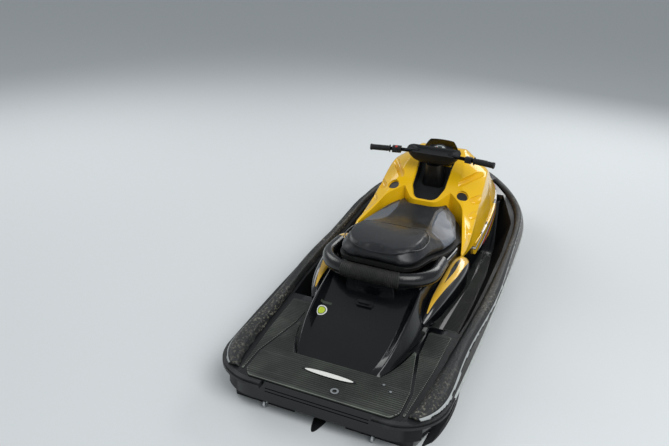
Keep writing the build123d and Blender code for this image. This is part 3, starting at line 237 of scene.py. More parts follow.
def pebbled_foam():
    """Closed-cell foam with a pebbled, salt-speckled skin, a pale strip along its outer foot and
    painted groove shade above it.
    """
    material, place = new_material("pebbled_foam", "#17191A", 0.55)
    pebbles = add(
        material, "ShaderNodeTexVoronoi", {"Vector": place, "Scale": 1 / 0.007},
        feature="SMOOTH_F1",
    )
    crystals = add(
        material, "ShaderNodeTexNoise", {"Vector": place, "Scale": 1 / 0.012, "Detail": 4.0}
    )
    salt = add(
        material, "ShaderNodeMapRange", {"Value": crystals, "From Min": 0.52, "From Max": 0.66}
    )
    dried = add(
        material, "ShaderNodeTexNoise", {"Vector": place, "Scale": 1 / 0.3, "Detail": 3.0}
    )
    patches = add(
        material, "ShaderNodeMapRange", {"Value": dried, "From Min": 0.42, "From Max": 0.62}
    )
    speckle = add(material, "ShaderNodeMath", {0: salt, 1: patches}, operation="MULTIPLY")
    x, _, z, across = axes(material, place)
    height = over_sheer(material, x, z)
    normal = add(material, "ShaderNodeNewGeometry", result="Normal")
    to_port = add(material, "ShaderNodeSeparateXYZ", {"Vector": normal}, "Y")
    half = add(material, "ShaderNodeMath", {0: across}, operation="SIGN")
    outward = add(material, "ShaderNodeMath", {0: to_port, 1: half}, operation="MULTIPLY")
    outer = above(material, outward, OUTER_LEAN, OUTER_EDGE)
    strip = add(
        material, "ShaderNodeMath",
        {0: outer, 1: band(material, height, STRIP_LOW, STRIP_HIGH, PRINT_EDGE)},
        operation="MULTIPLY",
    )
    # Painted shade: the band over the strip is near black, standing in for the shadow in the groove
    foot_groove_shade = add(
        material, "ShaderNodeMath",
        {0: outer, 1: band(material, height, STRIP_HIGH, FOOT_GROOVE_SHADE_HIGH, PRINT_EDGE)},
        operation="MULTIPLY",
    )
    skin = add(
        material, "ShaderNodeMix", {"Factor": speckle, "A": "#17191A", "B": "#6B685C"}, "Result",
        data_type="RGBA",
    )
    trimmed = add(
        material, "ShaderNodeMix", {"Factor": strip, "A": skin, "B": "#A6AAAA"}, "Result",
        data_type="RGBA",
    )
    finish(material, {
        "Normal": add(
            material, "ShaderNodeBump", {"Height": pebbles, "Distance": 0.0016, "Strength": 0.9}
        ),
        "Base Color": add(
            material, "ShaderNodeMix", {"Factor": foot_groove_shade, "A": trimmed, "B": "#08090A"}, "Result",
            data_type="RGBA",
        ),
    })
    return material


def eva_foam(name, colour, worn):
    """Cut EVA sheet: matt and very finely pitted, faded where feet rub it."""
    material, place = new_material(name, colour, 0.62)
    pits = add(
        material, "ShaderNodeTexNoise", {"Vector": place, "Scale": 1 / 0.002, "Detail": 2.0}
    )
    rubbed = add(
        material, "ShaderNodeTexNoise", {"Vector": place, "Scale": 1 / 0.16, "Detail": 4.0}
    )
    fade = add(
        material, "ShaderNodeMapRange", {"Value": rubbed, "From Min": 0.4, "From Max": 0.7}
    )
    finish(material, {
        "Normal": add(
            material, "ShaderNodeBump", {"Height": pits, "Distance": 0.0003, "Strength": 0.6}
        ),
        "Base Color": add(
            material, "ShaderNodeMix", {"Factor": fade, "A": colour, "B": worn}, "Result",
            data_type="RGBA",
        ),
    })
    return material


# The oval plate on the stern mat, and how far out its border starts, as a squared share
BADGE_X = -1.300
BADGE_HALF_SPAN = 0.126
BADGE_HALF_DEPTH = 0.015
BADGE_BORDER = 0.80
BADGE_BORDER_EDGE = 0.02


def bordered_plate():
    """Enamelled plate: plain white inside a thin dark border, slightly chalky."""
    material, place = new_material("enamelled_plate", "#E4E4DF", 0.3)
    x, side, _, _ = axes(material, place)
    along = add(material, "ShaderNodeMath", {0: x, 1: BADGE_X}, operation="SUBTRACT")
    squares = []
    for distance, half_size in ((along, BADGE_HALF_DEPTH), (side, BADGE_HALF_SPAN)):
        share = add(material, "ShaderNodeMath", {0: distance, 1: half_size}, operation="DIVIDE")
        squares.append(add(material, "ShaderNodeMath", {0: share, 1: 2.0}, operation="POWER"))
    reach = add(material, "ShaderNodeMath", {0: squares[0], 1: squares[1]}, operation="ADD")
    border = above(material, reach, BADGE_BORDER, BADGE_BORDER_EDGE)
    powder = add(
        material, "ShaderNodeTexNoise", {"Vector": place, "Scale": 1 / 0.01, "Detail": 4.0}
    )
    chalk = add(
        material, "ShaderNodeMix", {"Factor": powder, "A": "#ECECE8", "B": "#CDCDC6"}, "Result",
        data_type="RGBA",
    )
    orange_peel = add(
        material, "ShaderNodeTexNoise", {"Vector": place, "Scale": 1 / 0.004, "Detail": 2.0}
    )
    finish(material, {
        "Normal": add(
            material, "ShaderNodeBump",
            {"Height": orange_peel, "Distance": 0.0002, "Strength": 0.4},
        ),
        "Base Color": add(
            material, "ShaderNodeMix", {"Factor": border, "A": chalk, "B": "#17181C"}, "Result",
            data_type="RGBA",
        ),
    })
    return material


# Lower and upper edge of the rail's pale insert, from the sheer
INSERT_LOW = -0.0128
INSERT_HIGH = 0.0126


def rail_vinyl():
    """Extruded vinyl rail: pale grey insert in a black carrier, weathered along its run."""
    material, place = new_material("rail_vinyl", "#0F1011", 0.42)
    x, _, z, _ = axes(material, place)
    insert = band(material, over_sheer(material, x, z), INSERT_LOW, INSERT_HIGH, PRINT_EDGE)
    stain = add(
        material, "ShaderNodeTexNoise", {"Vector": place, "Scale": 1 / 0.05, "Detail": 5.0}
    )
    pale = add(
        material, "ShaderNodeMix", {"Factor": stain, "A": "#C3C7C6", "B": "#8C9190"}, "Result",
        data_type="RGBA",
    )
    grain = add(
        material, "ShaderNodeTexNoise", {"Vector": place, "Scale": 1 / 0.004, "Detail": 2.0}
    )
    finish(material, {
        "Normal": add(
            material, "ShaderNodeBump", {"Height": grain, "Distance": 0.0003, "Strength": 0.5}
        ),
        "Base Color": add(
            material, "ShaderNodeMix", {"Factor": insert, "A": "#0F1011", "B": pale}, "Result",
            data_type="RGBA",
        ),
    })
    return material


# Edge of the grey flank of the seat: metres from the seat's tail, and from the middle line
SEAT_TAIL_X = -0.805
FLANK_EDGE = [(0.0, 0.36), (0.40, 0.36), (0.44, 0.20), (0.475, 0.160), (0.625, 0.128),
              (0.765, 0.118), (0.885, 0.138), (0.975, 0.156), (1.0, 0.160)]
# A black jag inlaid in the flank: its outer and its inner edge
JAG_OUTER = [(0.0, 0.0), (0.672, 0.232), (0.76, 0.228), (0.772, 0.200), (0.822, 0.192),
             (0.834, 0.168), (0.90, 0.152), (0.93, 0.110), (1.0, 0.0)]
JAG_INNER = [(0.0, 0.30), (0.660, 0.238), (0.742, 0.200), (0.754, 0.180), (0.806, 0.160),
             (0.818, 0.142), (0.885, 0.116), (0.93, 0.110), (1.0, 0.30)]
FLANK_BLUR = 0.003
JAG_BLUR = 0.002


def marine_vinyl():
    """Marine upholstery vinyl: fine leather grain, satin; black top, slate flanks in front."""
    material, place = new_material("marine_vinyl", "#111317", 0.4)
    x, side, _, _ = axes(material, place)
    along = add(material, "ShaderNodeMath", {0: x, 1: SEAT_TAIL_X}, operation="SUBTRACT")
    edges = []
    for points in (FLANK_EDGE, JAG_OUTER, JAG_INNER):
        edges.append(add(material, "ShaderNodeFloatCurve", {"Value": along}))
        lay_points(edges[-1].node.mapping, points)
    flank = above(material, side, edges[0], FLANK_BLUR)
    inside = above(material, edges[1], side, JAG_BLUR)
    outside = above(material, side, edges[2], JAG_BLUR)
    jag = add(material, "ShaderNodeMath", {0: inside, 1: outside}, operation="MULTIPLY")
    clear = add(material, "ShaderNodeMath", {0: 1.0, 1: jag}, operation="SUBTRACT")
    slate = add(material, "ShaderNodeMath", {0: flank, 1: clear}, operation="MULTIPLY")
    dust = add(
        material, "ShaderNodeTexNoise", {"Vector": place, "Scale": 1 / 0.09, "Detail": 5.0}
    )
    black = add(
        material, "ShaderNodeMix", {"Factor": dust, "A": "#0E1013", "B": "#1A1D21"}, "Result",
        data_type="RGBA",
    )
    grey = add(
        material, "ShaderNodeMix", {"Factor": dust, "A": "#4A5059", "B": "#5B626C"}, "Result",
        data_type="RGBA",
    )
    leather = add(
        material, "ShaderNodeTexVoronoi", {"Vector": place, "Scale": 1 / 0.0035},
        feature="SMOOTH_F1",
    )
    finish(material, {
        "Normal": add(
            material, "ShaderNodeBump", {"Height": leather, "Distance": 0.0003, "Strength": 0.6}
        ),
        "Roughness": add(
            material, "ShaderNodeMapRange",
            {"Value": dust, "From Min": 0.35, "From Max": 0.65, "To Min": 0.3, "To Max": 0.5},
        ),
        "Base Color": add(
            material, "ShaderNodeMix", {"Factor": slate, "A": black, "B": grey}, "Result",
            data_type="RGBA",
        ),
    })
    return material


STRIPE_LEAN = math.radians(-9)
STRIPES = [
    # where each stripe starts, in metres across the lean, and its colour
    (0.0, "#0B0C0E"), (0.165, "#EDBD2A"), (0.184, "#0B0C0E"), (0.190, "#D2505A"),
    (0.209, "#0B0C0E"), (0.214, "#ECEAE2"), (0.229, "#0B0C0E"), (0.236, "#EDBD2A"),
    (0.262, "#0B0C0E"), (0.269, "#ECEAE2"), (0.279, "#0B0C0E"), (0.284, "#EDBD2A"),
]


def striped_film():
    """Printed vinyl film under clear coat: plain slanted stripes."""
    material, place = new_material("striped_film", "#E3B022", 0.22, coat=0.6)
    x, _, z, _ = axes(material, place)
    lean_x = add(
        material, "ShaderNodeMath", {0: x, 1: math.sin(STRIPE_LEAN)}, operation="MULTIPLY"
    )
    across = add(
        material, "ShaderNodeMath", {0: z, 1: math.cos(STRIPE_LEAN), 2: lean_x},
        operation="MULTIPLY_ADD",
    )
    print_colour = add(material, "ShaderNodeValToRGB", {"Fac": across}, "Color")
    ramp = print_colour.node.color_ramp
    ramp.interpolation = "CONSTANT"
    while len(ramp.elements) < len(STRIPES):
        ramp.elements.new(0.99)
    for stop, (start, colour) in zip(ramp.elements, STRIPES):
        stop.position = start
        stop.color = linear(colour)
    waves = add(
        material, "ShaderNodeTexNoise", {"Vector": place, "Scale": 1 / 0.02, "Detail": 2.0}
    )
    finish(material, {
        "Normal": add(
            material, "ShaderNodeBump", {"Height": waves, "Distance": 0.0002, "Strength": 0.4}
        ),
        "Base Color": print_colour,
    })
    return material


# The flash on a pod: metres from the pod's tail, and the pod's crest line from the middle line,
# half the flash's width, half the width of the black fork in it
POD_TAIL_X = -0.86
POD_RIDGE = [(0.0, 0.284), (0.16, 0.300), (0.36, 0.322), (0.52, 0.330), (1.0, 0.330)]
FLAME_WIDTH = [(0.0, 0.0), (0.03, 0.0), (0.16, 0.016), (0.36, 0.034), (0.50, 0.042), (1.0, 0.042)]
FORK_WIDTH = [(0.0, 0.0), (0.26, 0.0), (0.40, 0.012), (0.48, 0.009), (0.53, 0.0), (1.0, 0.0)]
POD_TOP_Z = 0.30


def pod_film():
    """Black film with a plain forked yellow flash along the top, under clear coat."""
    material, place = new_material("pod_film", "#0B0C0F", 0.18, coat=0.6)
    x, side, z, _ = axes(material, place)
    along = add(material, "ShaderNodeMath", {0: x, 1: POD_TAIL_X}, operation="SUBTRACT")
    lines = []
    for points in (POD_RIDGE, FLAME_WIDTH, FORK_WIDTH):
        lines.append(add(material, "ShaderNodeFloatCurve", {"Value": along}))
        lay_points(lines[-1].node.mapping, points)
    off = add(material, "ShaderNodeMath", {0: side, 1: lines[0]}, operation="SUBTRACT")
    spread = add(material, "ShaderNodeMath", {0: off}, operation="ABSOLUTE")
    flash = above(material, lines[1], spread, PRINT_EDGE)
    fork = above(material, lines[2], spread, PRINT_EDGE)
    forked = add(material, "ShaderNodeMath", {0: flash, 1: fork}, operation="SUBTRACT")
    on_top = above(material, z, POD_TOP_Z, PRINT_EDGE)
    shown = add(material, "ShaderNodeMath", {0: forked, 1: on_top}, operation="MULTIPLY")
    rubbed = add(
        material, "ShaderNodeTexNoise", {"Vector": place, "Scale": 1 / 0.04, "Detail": 4.0}
    )
    worn = add(
        material, "ShaderNodeMix", {"Factor": rubbed, "A": "#EBC04A", "B": "#D9A62C"}, "Result",
        data_type="RGBA",
    )
    ripple = add(
        material, "ShaderNodeTexNoise", {"Vector": place, "Scale": 1 / 0.1, "Detail": 1.0}
    )
    finish(material, {
        "Normal": add(
            material, "ShaderNodeBump", {"Height": ripple, "Distance": 0.0006, "Strength": 0.4}
        ),
        "Base Color": add(
            material, "ShaderNodeMix", {"Factor": shown, "A": "#0B0C0F", "B": worn}, "Result",
            data_type="RGBA",
        ),
    })
    return material


def cast_metal(name, colour, roughness, metallic, grain):
    """Sand-cast or painted metal: a pitted skin whose roughness varies with the pits."""
    material, place = new_material(name, colour, roughness, metallic)
    pits = add(
        material, "ShaderNodeTexNoise", {"Vector": place, "Scale": 1 / grain, "Detail": 4.0}
    )
    finish(material, {
        "Normal": add(
            material, "ShaderNodeBump",
            {"Height": pits, "Distance": grain * 0.15, "Strength": 0.6},
        ),
        "Roughness": add(
            material, "ShaderNodeMapRange",
            {"Value": pits, "From Min": 0.3, "From Max": 0.7,
             "To Min": roughness - 0.1, "To Max": roughness + 0.15},
        ),
    })
    return material


# Scratches to the metre along the craft, across it and upward
SCRATCHES = (40, 900, 900)


def turned_steel(name, colour, roughness):
    """Turned or polished metal: fine scratches in one direction break the shine."""
    material, place = new_material(name, colour, roughness, 1.0)
    stretched = add(material, "ShaderNodeMapping", {"Vector": place, "Scale": SCRATCHES})
    scratches = add(
        material, "ShaderNodeTexNoise", {"Vector": stretched, "Scale": 1.0, "Detail": 2.0}
    )
    finish(material, {
        "Roughness": add(
            material, "ShaderNodeMapRange",
            {"Value": scratches, "To Min": roughness - 0.08, "To Max": roughness + 0.14},
        ),
    })
    return material


def smoked_acrylic():
    """Smoked acrylic screen: nearly black, clear only at a low angle, very glossy."""
    material, place = new_material("smoked_acrylic", "#1A1C1F", 0.06)
    smears = add(
        material, "ShaderNodeTexNoise", {"Vector": place, "Scale": 1 / 0.05, "Detail": 4.0}
    )
    finish(material, {
        "Transmission Weight": 0.55,
        "IOR": 1.49,
        "Roughness": add(
            material, "ShaderNodeMapRange",
            {"Value": smears, "From Min": 0.4, "From Max": 0.7, "To Min": 0.04, "To Max": 0.16},
        ),
    })
    return material


# Beyond this distance from the middle line the deck is dull
DECK_DULL_FROM = 0.375

MATERIALS = {
    "gelcoat_black": polished_gelcoat("black_gelcoat", "#08090B", "#0E1013", DECK_DULL_FROM),
    "gelcoat_hull": polished_gelcoat("black_hull_gelcoat", "#090A0C", "#14161A"),
    "yellow_cowl": polished_gelcoat("yellow_gelcoat", "#F0C018", "#E4B016"),
    "hood_paint": polished_gelcoat("yellow_hood_gelcoat", "#F0C018", "#E4B016"),
    "rub_rail": rail_vinyl(),
    "bumper": moulded_plastic("bumper_rubber", "#0F1011", "#26282A", 0.5, 0.004),
    "gunwale_pad": pebbled_foam(),
    "traction_mat": eva_foam("eva_foam", "#1C201D", "#3C4239"),
    "badge": bordered_plate(),
    "rubber_black": moulded_plastic("black_rubber", "#0A0A0B", "#1B1C1D", 0.5, 0.003),
    "side_graphics": striped_film(),
    "pod_graphics": pod_film(),
    "seat_vinyl": marine_vinyl(),
    "seat_pan": moulded_plastic("pan_plastic", "#0A0A0B", "#161718", 0.6, 0.004),
    "handle": moulded_plastic("handle_plastic", "#0B0B0C", "#17181A", 0.25, 0.01),
    "trim_black": moulded_plastic("abs_trim", "#0D0E10", "#1C1E21", 0.42, 0.0025),
    "gauge": moulded_plastic("gauge_case", "#15171A", "#2A2C30", 0.3, 0.004),
    "visor": smoked_acrylic(),
    "bar": turned_steel("black_anodised_aluminium", "#17181A", 0.34),
    "grip": moulded_plastic("grip_rubber", "#0A0A0B", "#161718", 0.6, 0.0025),
    "engine": cast_metal("cast_casing", "#77797B", 0.5, 0.8, 0.004),
    "impeller": turned_steel("machined_steel", "#9A9C9E", 0.3),
    "shaft": turned_steel("ground_steel", "#A6A8AA", 0.25),
    "pump": cast_metal("painted_casting", "#141517", 0.42, 0.0, 0.006),
    "plate": cast_metal("painted_plate", "#3A3C3E", 0.5, 0.0, 0.008),
    "sponson": moulded_plastic("sponson_plastic", "#0D0E10", "#202225", 0.45, 0.004),
    "stainless": turned_steel("polished_stainless", "#C9CBCC", 0.18),
}

for part in frame["record"]["subparts"]:
    mesh = frame["nodes"][part["node"]].data
    mesh.materials.clear()
    mesh.materials.append(MATERIALS[part["material_slot"]])


# Making pieces

MERGE_DISTANCE = 0.00002


def joined(node):
    """The CAD node's shape as one skin, its loose triangles merged."""
    skin = bmesh.new()
    skin.from_mesh(frame["nodes"][node].data)
    bmesh.ops.remove_doubles(skin, verts=skin.verts, dist=MERGE_DISTANCE)
    return skin


def finished(name, skin, body, slot, material=None, smooth=35):
    """The shape as a piece that rides on a body, with the finish of its slot."""
    data = bpy.data.meshes.new(name)
    skin.to_mesh(data)
    skin.free()
    data.materials.append(material or MATERIALS[slot])
    data.shade_smooth()
    data.set_sharp_from_angle(angle=math.radians(smooth))
    piece = bpy.data.objects.new(name, data)
    bpy.context.scene.collection.objects.link(piece)
    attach(piece, body)
    return piece


def apply_modifiers(piece):
    """The piece's mesh as its modifiers leave it, with none of them kept."""
    shaped = piece.evaluated_get(bpy.context.evaluated_depsgraph_get())
    data = bpy.data.meshes.new_from_object(shaped)
    piece.modifiers.clear()
    piece.data = data
    data.shade_smooth()


def spun(profile, where, steps=32):
    """A turned shape from points (radius, height), its axis laid along where's z."""
    skin = bmesh.new()
    line = [skin.verts.new((radius, 0, height)) for radius, height in profile]
    edges = [skin.edges.new(pair) for pair in zip(line, line[1:])]
    bmesh.ops.spin(
        skin, geom=line + edges, cent=(0, 0, 0), axis=(0, 0, 1),
        angle=math.tau, steps=steps, use_merge=True,
    )
    bmesh.ops.remove_doubles(skin, verts=skin.verts, dist=MERGE_DISTANCE)
    bmesh.ops.recalc_face_normals(skin, faces=skin.faces)
    bmesh.ops.transform(skin, matrix=where, verts=skin.verts)
    return skin


def facing(spot, way, across=(0, 1, 0)):
    """A place at spot whose z looks along way and whose x lies near across."""
    z_way = Vector(way).normalized()
    y_way = z_way.cross(Vector(across)).normalized()
    x_way = y_way.cross(z_way)
    turn = Matrix((x_way, y_way, z_way)).transposed().to_4x4()
    return Matrix.Translation(spot) @ turn


# Grooved mats

GROOVE_PITCH = 0.0125
GROOVE_WIDTH = 0.0065
GROOVE_DEPTH = 0.0032
GROOVES_FROM_REAR = 0.02
GROOVES_FROM_FRONT = 0.01
MAT_CHAMFER = 0.0022
FACET_TURN = math.radians(3)
RIM_TURN = math.radians(30)
# A face whose normal rises at least this much is part of the mat's top
TOP_RISE = 0.9
# Cuts go through a vertex this near, and a vertex this near a groove's middle line lies on it
CUT_TOLERANCE = 0.000001
ON_LINE = 0.00001
# Material slots after the mat's own: the chamfer, painted lighter as a highlight, and the groove
# faces, painted darker as shade
EDGE_HIGHLIGHT_SLOT = 1
GROOVE_SHADE_SLOT = 2


def grooved_mat(name, node):
    """EVA mat with a chamfered edge and V grooves cut across the craft; its chamfer is painted
    lighter as a highlight and its groove faces darker as shade.
    """
    skin = joined(node)
    bmesh.ops.dissolve_limit(
        skin, angle_limit=FACET_TURN, verts=skin.verts, edges=skin.edges
    )
    rim = [
        edge for edge in skin.edges
        if len(edge.link_faces) == 2 and edge.calc_face_angle() > RIM_TURN
        and max(face.normal.z for face in edge.link_faces) > TOP_RISE
    ]
    cut = bmesh.ops.bevel(
        skin, geom=rim, offset=MAT_CHAMFER, segments=1, profile=0.5, affect="EDGES",
        material=-1, clamp_overlap=True,
    )
    for face in cut["faces"]:
        face.material_index = EDGE_HIGHLIGHT_SLOT
    low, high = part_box(node)
    first = low.x + GROOVES_FROM_REAR
    count = int((high.x - GROOVES_FROM_FRONT - first) / GROOVE_PITCH)
    for step in range(count):
        for offset in (-GROOVE_WIDTH / 2, 0, GROOVE_WIDTH / 2):
            bmesh.ops.bisect_plane(
                skin, geom=skin.verts[:] + skin.edges[:] + skin.faces[:], dist=CUT_TOLERANCE,
                plane_co=(first + step * GROOVE_PITCH + offset, 0, 0), plane_no=(1, 0, 0),
            )
    for vert in skin.verts:
        place_in_row = (vert.co.x - first) / GROOVE_PITCH
        on_line = abs(place_in_row - round(place_in_row)) * GROOVE_PITCH < ON_LINE
        top = any(face.normal.z > TOP_RISE for face in vert.link_faces)
        if on_line and top and 0 <= round(place_in_row) < count:
            vert.co.z -= GROOVE_DEPTH
            for face in vert.link_faces:
                face.material_index = GROOVE_SHADE_SLOT
    bmesh.ops.triangulate(skin, faces=skin.faces)
    piece = finished(name, skin, "craft", "traction_mat", smooth=20)
    piece.data.materials.append(EDGE_HIGHLIGHT_FOAM)
    piece.data.materials.append(GROOVE_SHADE_FOAM)
    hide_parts(node)


# Painted highlight on the chamfer, a lighter copy of the mat's foam, and painted shade in the
# grooves, a darker copy of it
EDGE_HIGHLIGHT_FOAM = eva_foam("eva_painted_edge_highlight", "#62665F", "#7C8078")
GROOVE_SHADE_FOAM = eva_foam("eva_painted_groove_shade", "#0C0E0D", "#1A1D1A")
grooved_mat("stern_mat", "rear_deck_mat")
for side in ("port", "starboard"):
    grooved_mat("ramp_foam_" + side, "ramp_mat_" + side)
    grooved_mat("floor_foam_" + side, "footwell_mat_" + side)


# Foam pads along the gunwales

PAD_VOXEL = 0.006


def gunwale_foam(name, node):
    """Foam pad with softened edges."""
    piece = finished(name, joined(node), "craft", "gunwale_pad")
    remesh = piece.modifiers.new("skin", "REMESH")
    remesh.mode = "VOXEL"
    remesh.voxel_size = PAD_VOXEL
    soften = piece.modifiers.new("soften", "SMOOTH")
    soften.factor = 0.5
    soften.iterations = 4
    apply_modifiers(piece)
    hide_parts(node)


for side in ("port", "starboard"):
    gunwale_foam("gunwale_foam_" + side, "gunwale_pad_" + side)


# Seat

SEAT_VOXEL = 0.009
SEAT_SHRINK = 0.004
SEAT_SWELL_CAP = 0.024
SWELL_FRAMES = 20
SWELL_PRESSURE = 4


def skin_tree(node):
    """The CAD node's skin, for finding the point of it nearest to another."""
    skin = joined(node)
    tree = BVHTree.FromBMesh(skin)
    skin.free()
    return tree


def keep_inside(data, tree, starts, cap):
    """Holds each point within cap of its start and inside the CAD solid."""
    for vert, start in zip(data.vertices, starts):
        moved = vert.co - start
        if moved.length > cap:
            vert.co = start + moved.normalized() * cap
        nearest, normal, _, _ = tree.find_nearest(vert.co)
        if (vert.co - nearest).dot(normal) > 0:
            vert.co = nearest


def swell(piece, tree):
    """Pressure from inside pulls the cover tight, as foam does under vinyl."""
    starts = [vert.co.copy() for vert in piece.data.vertices]
    cloth = piece.modifiers.new("stuffing", "CLOTH")
    cloth.settings.use_pressure = True
    cloth.settings.uniform_pressure_force = SWELL_PRESSURE
    cloth.settings.effector_weights.gravity = 0
    scene = bpy.context.scene
    for number in range(1, SWELL_FRAMES + 1):
        scene.frame_set(number)
    apply_modifiers(piece)
    scene.frame_set(1)
    keep_inside(piece.data, tree, starts, SEAT_SWELL_CAP)


SADDLE_X = -0.600
SADDLE_LENGTH = 0.190
SADDLE_WIDTH = 0.205
SADDLE_SQUARE = 0.8
SEAM_POINTS = 120
SEAM_REACH = 0.011
SEAM_DEPTH = 0.0045
SEAM_STEP = 0.004


def seat_top(tree, x, y):
    """The point where a line straight down at x and y meets the seat, or None beside it."""
    hit, _, _, _ = tree.ray_cast(Vector((x, y, 1.0)), Vector((0, 0, -1)))
    return hit


def saddle_seam(tree):
    """Points of the seam round the rear saddle, laid on the seat from above."""
    points = []
    for step in range(SEAM_POINTS):
        turn = math.tau * step / SEAM_POINTS
        ahead = math.cos(turn)
        across = math.sin(turn)
        x = SADDLE_X + SADDLE_LENGTH * math.copysign(abs(ahead) ** SADDLE_SQUARE, ahead)
        y = SADDLE_WIDTH * math.copysign(abs(across) ** SADDLE_SQUARE, across)
        points.append(seat_top(tree, x, y))
    return points


def flank_seam(tree, side):
    """Points of the seam between the black top and the slate flank."""
    points = [
        seat_top(tree, SEAT_TAIL_X + along, side * across) for along, across in FLANK_EDGE[2:]
    ]
    return [point for point in points if point]


def press_seams(data, runs):
    """Draws the cover in along each seam."""
    spots = []
    for run in runs:
        spots.extend(run)
        for first, second in zip(run, run[1:]):
            steps = max(1, int((second - first).length / SEAM_STEP))
            spots.extend(first.lerp(second, step / steps) for step in range(1, steps))
    near = KDTree(len(spots))
    for index, spot in enumerate(spots):
        near.insert(spot, index)
    near.balance()
    normals = [vert.normal.copy() for vert in data.vertices]
    for vert, normal in zip(data.vertices, normals):
        _, _, away = near.find(vert.co)
        if away < SEAM_REACH:
            share = 0.5 + 0.5 * math.cos(math.pi * away / SEAM_REACH)
            vert.co -= normal * SEAM_DEPTH * share


def seat_cushion():
    """Vinyl over foam: swollen, softened and drawn in at its seams. Gives the seams' runs."""
    tree = skin_tree("seat")
    piece = finished("seat_cushion", joined("seat"), "seat", "seat_vinyl")
    remesh = piece.modifiers.new("skin", "REMESH")
    remesh.mode = "VOXEL"
    remesh.voxel_size = SEAT_VOXEL
    apply_modifiers(piece)
    shrunk = bmesh.new()
    shrunk.from_mesh(piece.data)
    for vert in shrunk.verts:
        vert.co -= vert.normal * SEAT_SHRINK
    shrunk.to_mesh(piece.data)
    shrunk.free()
    swell(piece, tree)
    soften = piece.modifiers.new("soften", "SMOOTH")
    soften.factor = 0.5
    soften.iterations = 3
    finer = piece.modifiers.new("finer", "SUBSURF")
    finer.levels = 1
    finer.render_levels = 1
    apply_modifiers(piece)
    piece.data.materials.clear()
    piece.data.materials.append(MATERIALS["seat_vinyl"])
    saddle = saddle_seam(tree)
    runs = [saddle + saddle[:1], flank_seam(tree, 1), flank_seam(tree, -1)]
    press_seams(piece.data, runs)
    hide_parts("seat")
    return runs


seam_runs = seat_cushion()


PIPING_RADIUS = 0.0032
PIPING_DROP = Vector((0, 0, 0.0015))


def piping(name, run):
    """Round cord sewn into a seam that comes back to its start."""
    curve = bpy.data.curves.new(name, "CURVE")
    curve.dimensions = "3D"
    curve.bevel_depth = PIPING_RADIUS
    curve.bevel_resolution = 2
    spline = curve.splines.new("NURBS")
    points = run[:-1]
    spline.points.add(len(points) - 1)
    for made, point in zip(spline.points, points):
        made.co = (*(point - PIPING_DROP), 1)
    spline.order_u = 3
    spline.use_cyclic_u = True
    holder = bpy.data.objects.new(name, curve)
    bpy.context.scene.collection.objects.link(holder)
    data = bpy.data.meshes.new_from_object(
        holder.evaluated_get(bpy.context.evaluated_depsgraph_get())
    )
    bpy.data.objects.remove(holder)
    skin = bmesh.new()
    skin.from_mesh(data)
    bpy.data.meshes.remove(data)
    finished(name, skin, "seat", "seat_vinyl", PIPING, smooth=60)


PIPING = moulded_plastic("piping_vinyl", "#15171A", "#24272B", 0.28, 0.003)
piping("saddle_piping", seam_runs[0])


# Ribbed rubber sleeve on the rear of the grab handle

HANDLE_FRONT = Vector((-0.530, 0, 0.436))
HANDLE_REAR = Vector((-0.832, 0, 0.447))
HANDLE_HALF_SPAN = 0.276
HANDLE_BEND = 0.186
HANDLE_WIDTH = 0.062
HANDLE_HEIGHT = 0.076
RIB_PITCH = 0.008
RIB_RISE = 0.0022
SLEEVE_RISE = 0.0006
SLEEVE_BEND = math.radians(16)
HANDLE_WAY = (HANDLE_REAR - HANDLE_FRONT).normalized()
BEND_MIDDLE = HANDLE_REAR - HANDLE_WAY * HANDLE_BEND
STRAIGHT_HALF = HANDLE_HALF_SPAN - HANDLE_BEND


def in_bend(share, side):
    """A place and the way on there, this share of the sleeve's bend away from the straight."""
    turn = math.pi / 2 - SLEEVE_BEND * share
    spot = BEND_MIDDLE + Vector((0, side * STRAIGHT_HALF, 0))
    spot += HANDLE_WAY * HANDLE_BEND * math.sin(turn)
    spot += Vector((0, side * HANDLE_BEND * math.cos(turn), 0))
    return spot, side * HANDLE_WAY * math.cos(turn) - Vector((0, math.sin(turn), 0))


def handle_path():
    """Places along the middle of the handle's rear bend, a quarter rib apart, port first."""
    step = RIB_PITCH / 4
    bend_steps = int(HANDLE_BEND * SLEEVE_BEND / step)
    shares = [index / bend_steps for index in range(bend_steps + 1)]
    straight_steps = int(2 * STRAIGHT_HALF / step)
    places = [in_bend(1 - share, 1) for share in shares]
    for index in range(1, straight_steps):
        across = STRAIGHT_HALF - 2 * STRAIGHT_HALF * index / straight_steps
        places.append((HANDLE_REAR + Vector((0, across, 0)), Vector((0, -1, 0))))
    return places + [in_bend(share, -1) for share in shares]


def handle_sleeve():
    """A tube over the bar whose ribs are rings of it drawn out and in."""
    places = handle_path()
    up = Vector((0, 1, 0)).cross(HANDLE_WAY)
    skin = bmesh.new()
    ring = bmesh.ops.create_circle(skin, segments=40, radius=1)["verts"]
    flat = {vert: vert.co.copy() for vert in ring}
    edges = list({edge for vert in ring for edge in vert.link_edges})
    for index, (spot, way) in enumerate(places):
        rise = SLEEVE_RISE + (RIB_RISE if index % 4 in (1, 2) else 0)
        if index in (0, len(places) - 1):
            rise = 0
        outward = up.cross(way).normalized()
        for vert, co in flat.items():
            vert.co = (
                spot + outward * co.x * (HANDLE_WIDTH / 2 + rise)
                + up * co.y * (HANDLE_HEIGHT / 2 + rise)
            )
        if index == len(places) - 1:
            break
        grown = bmesh.ops.extrude_edge_only(skin, edges=edges)["geom"]
        made = [item for item in grown if isinstance(item, bmesh.types.BMVert)]
        made_by_spot = {tuple(round(value, 7) for value in vert.co): vert for vert in made}
        flat = {
            made_by_spot[tuple(round(value, 7) for value in vert.co)]: co
            for vert, co in flat.items()
        }
        edges = [item for item in grown if isinstance(item, bmesh.types.BMEdge)
                 and all(vert in flat for vert in item.verts)]
    bmesh.ops.recalc_face_normals(skin, faces=skin.faces)
    finished("handle_sleeve", skin, "craft", "handle", RIBBED, smooth=25)


RIBBED = moulded_plastic("ribbed_rubber", "#121210", "#2A2A25", 0.55, 0.002)
handle_sleeve()


# Grips, with raised rings under the hand

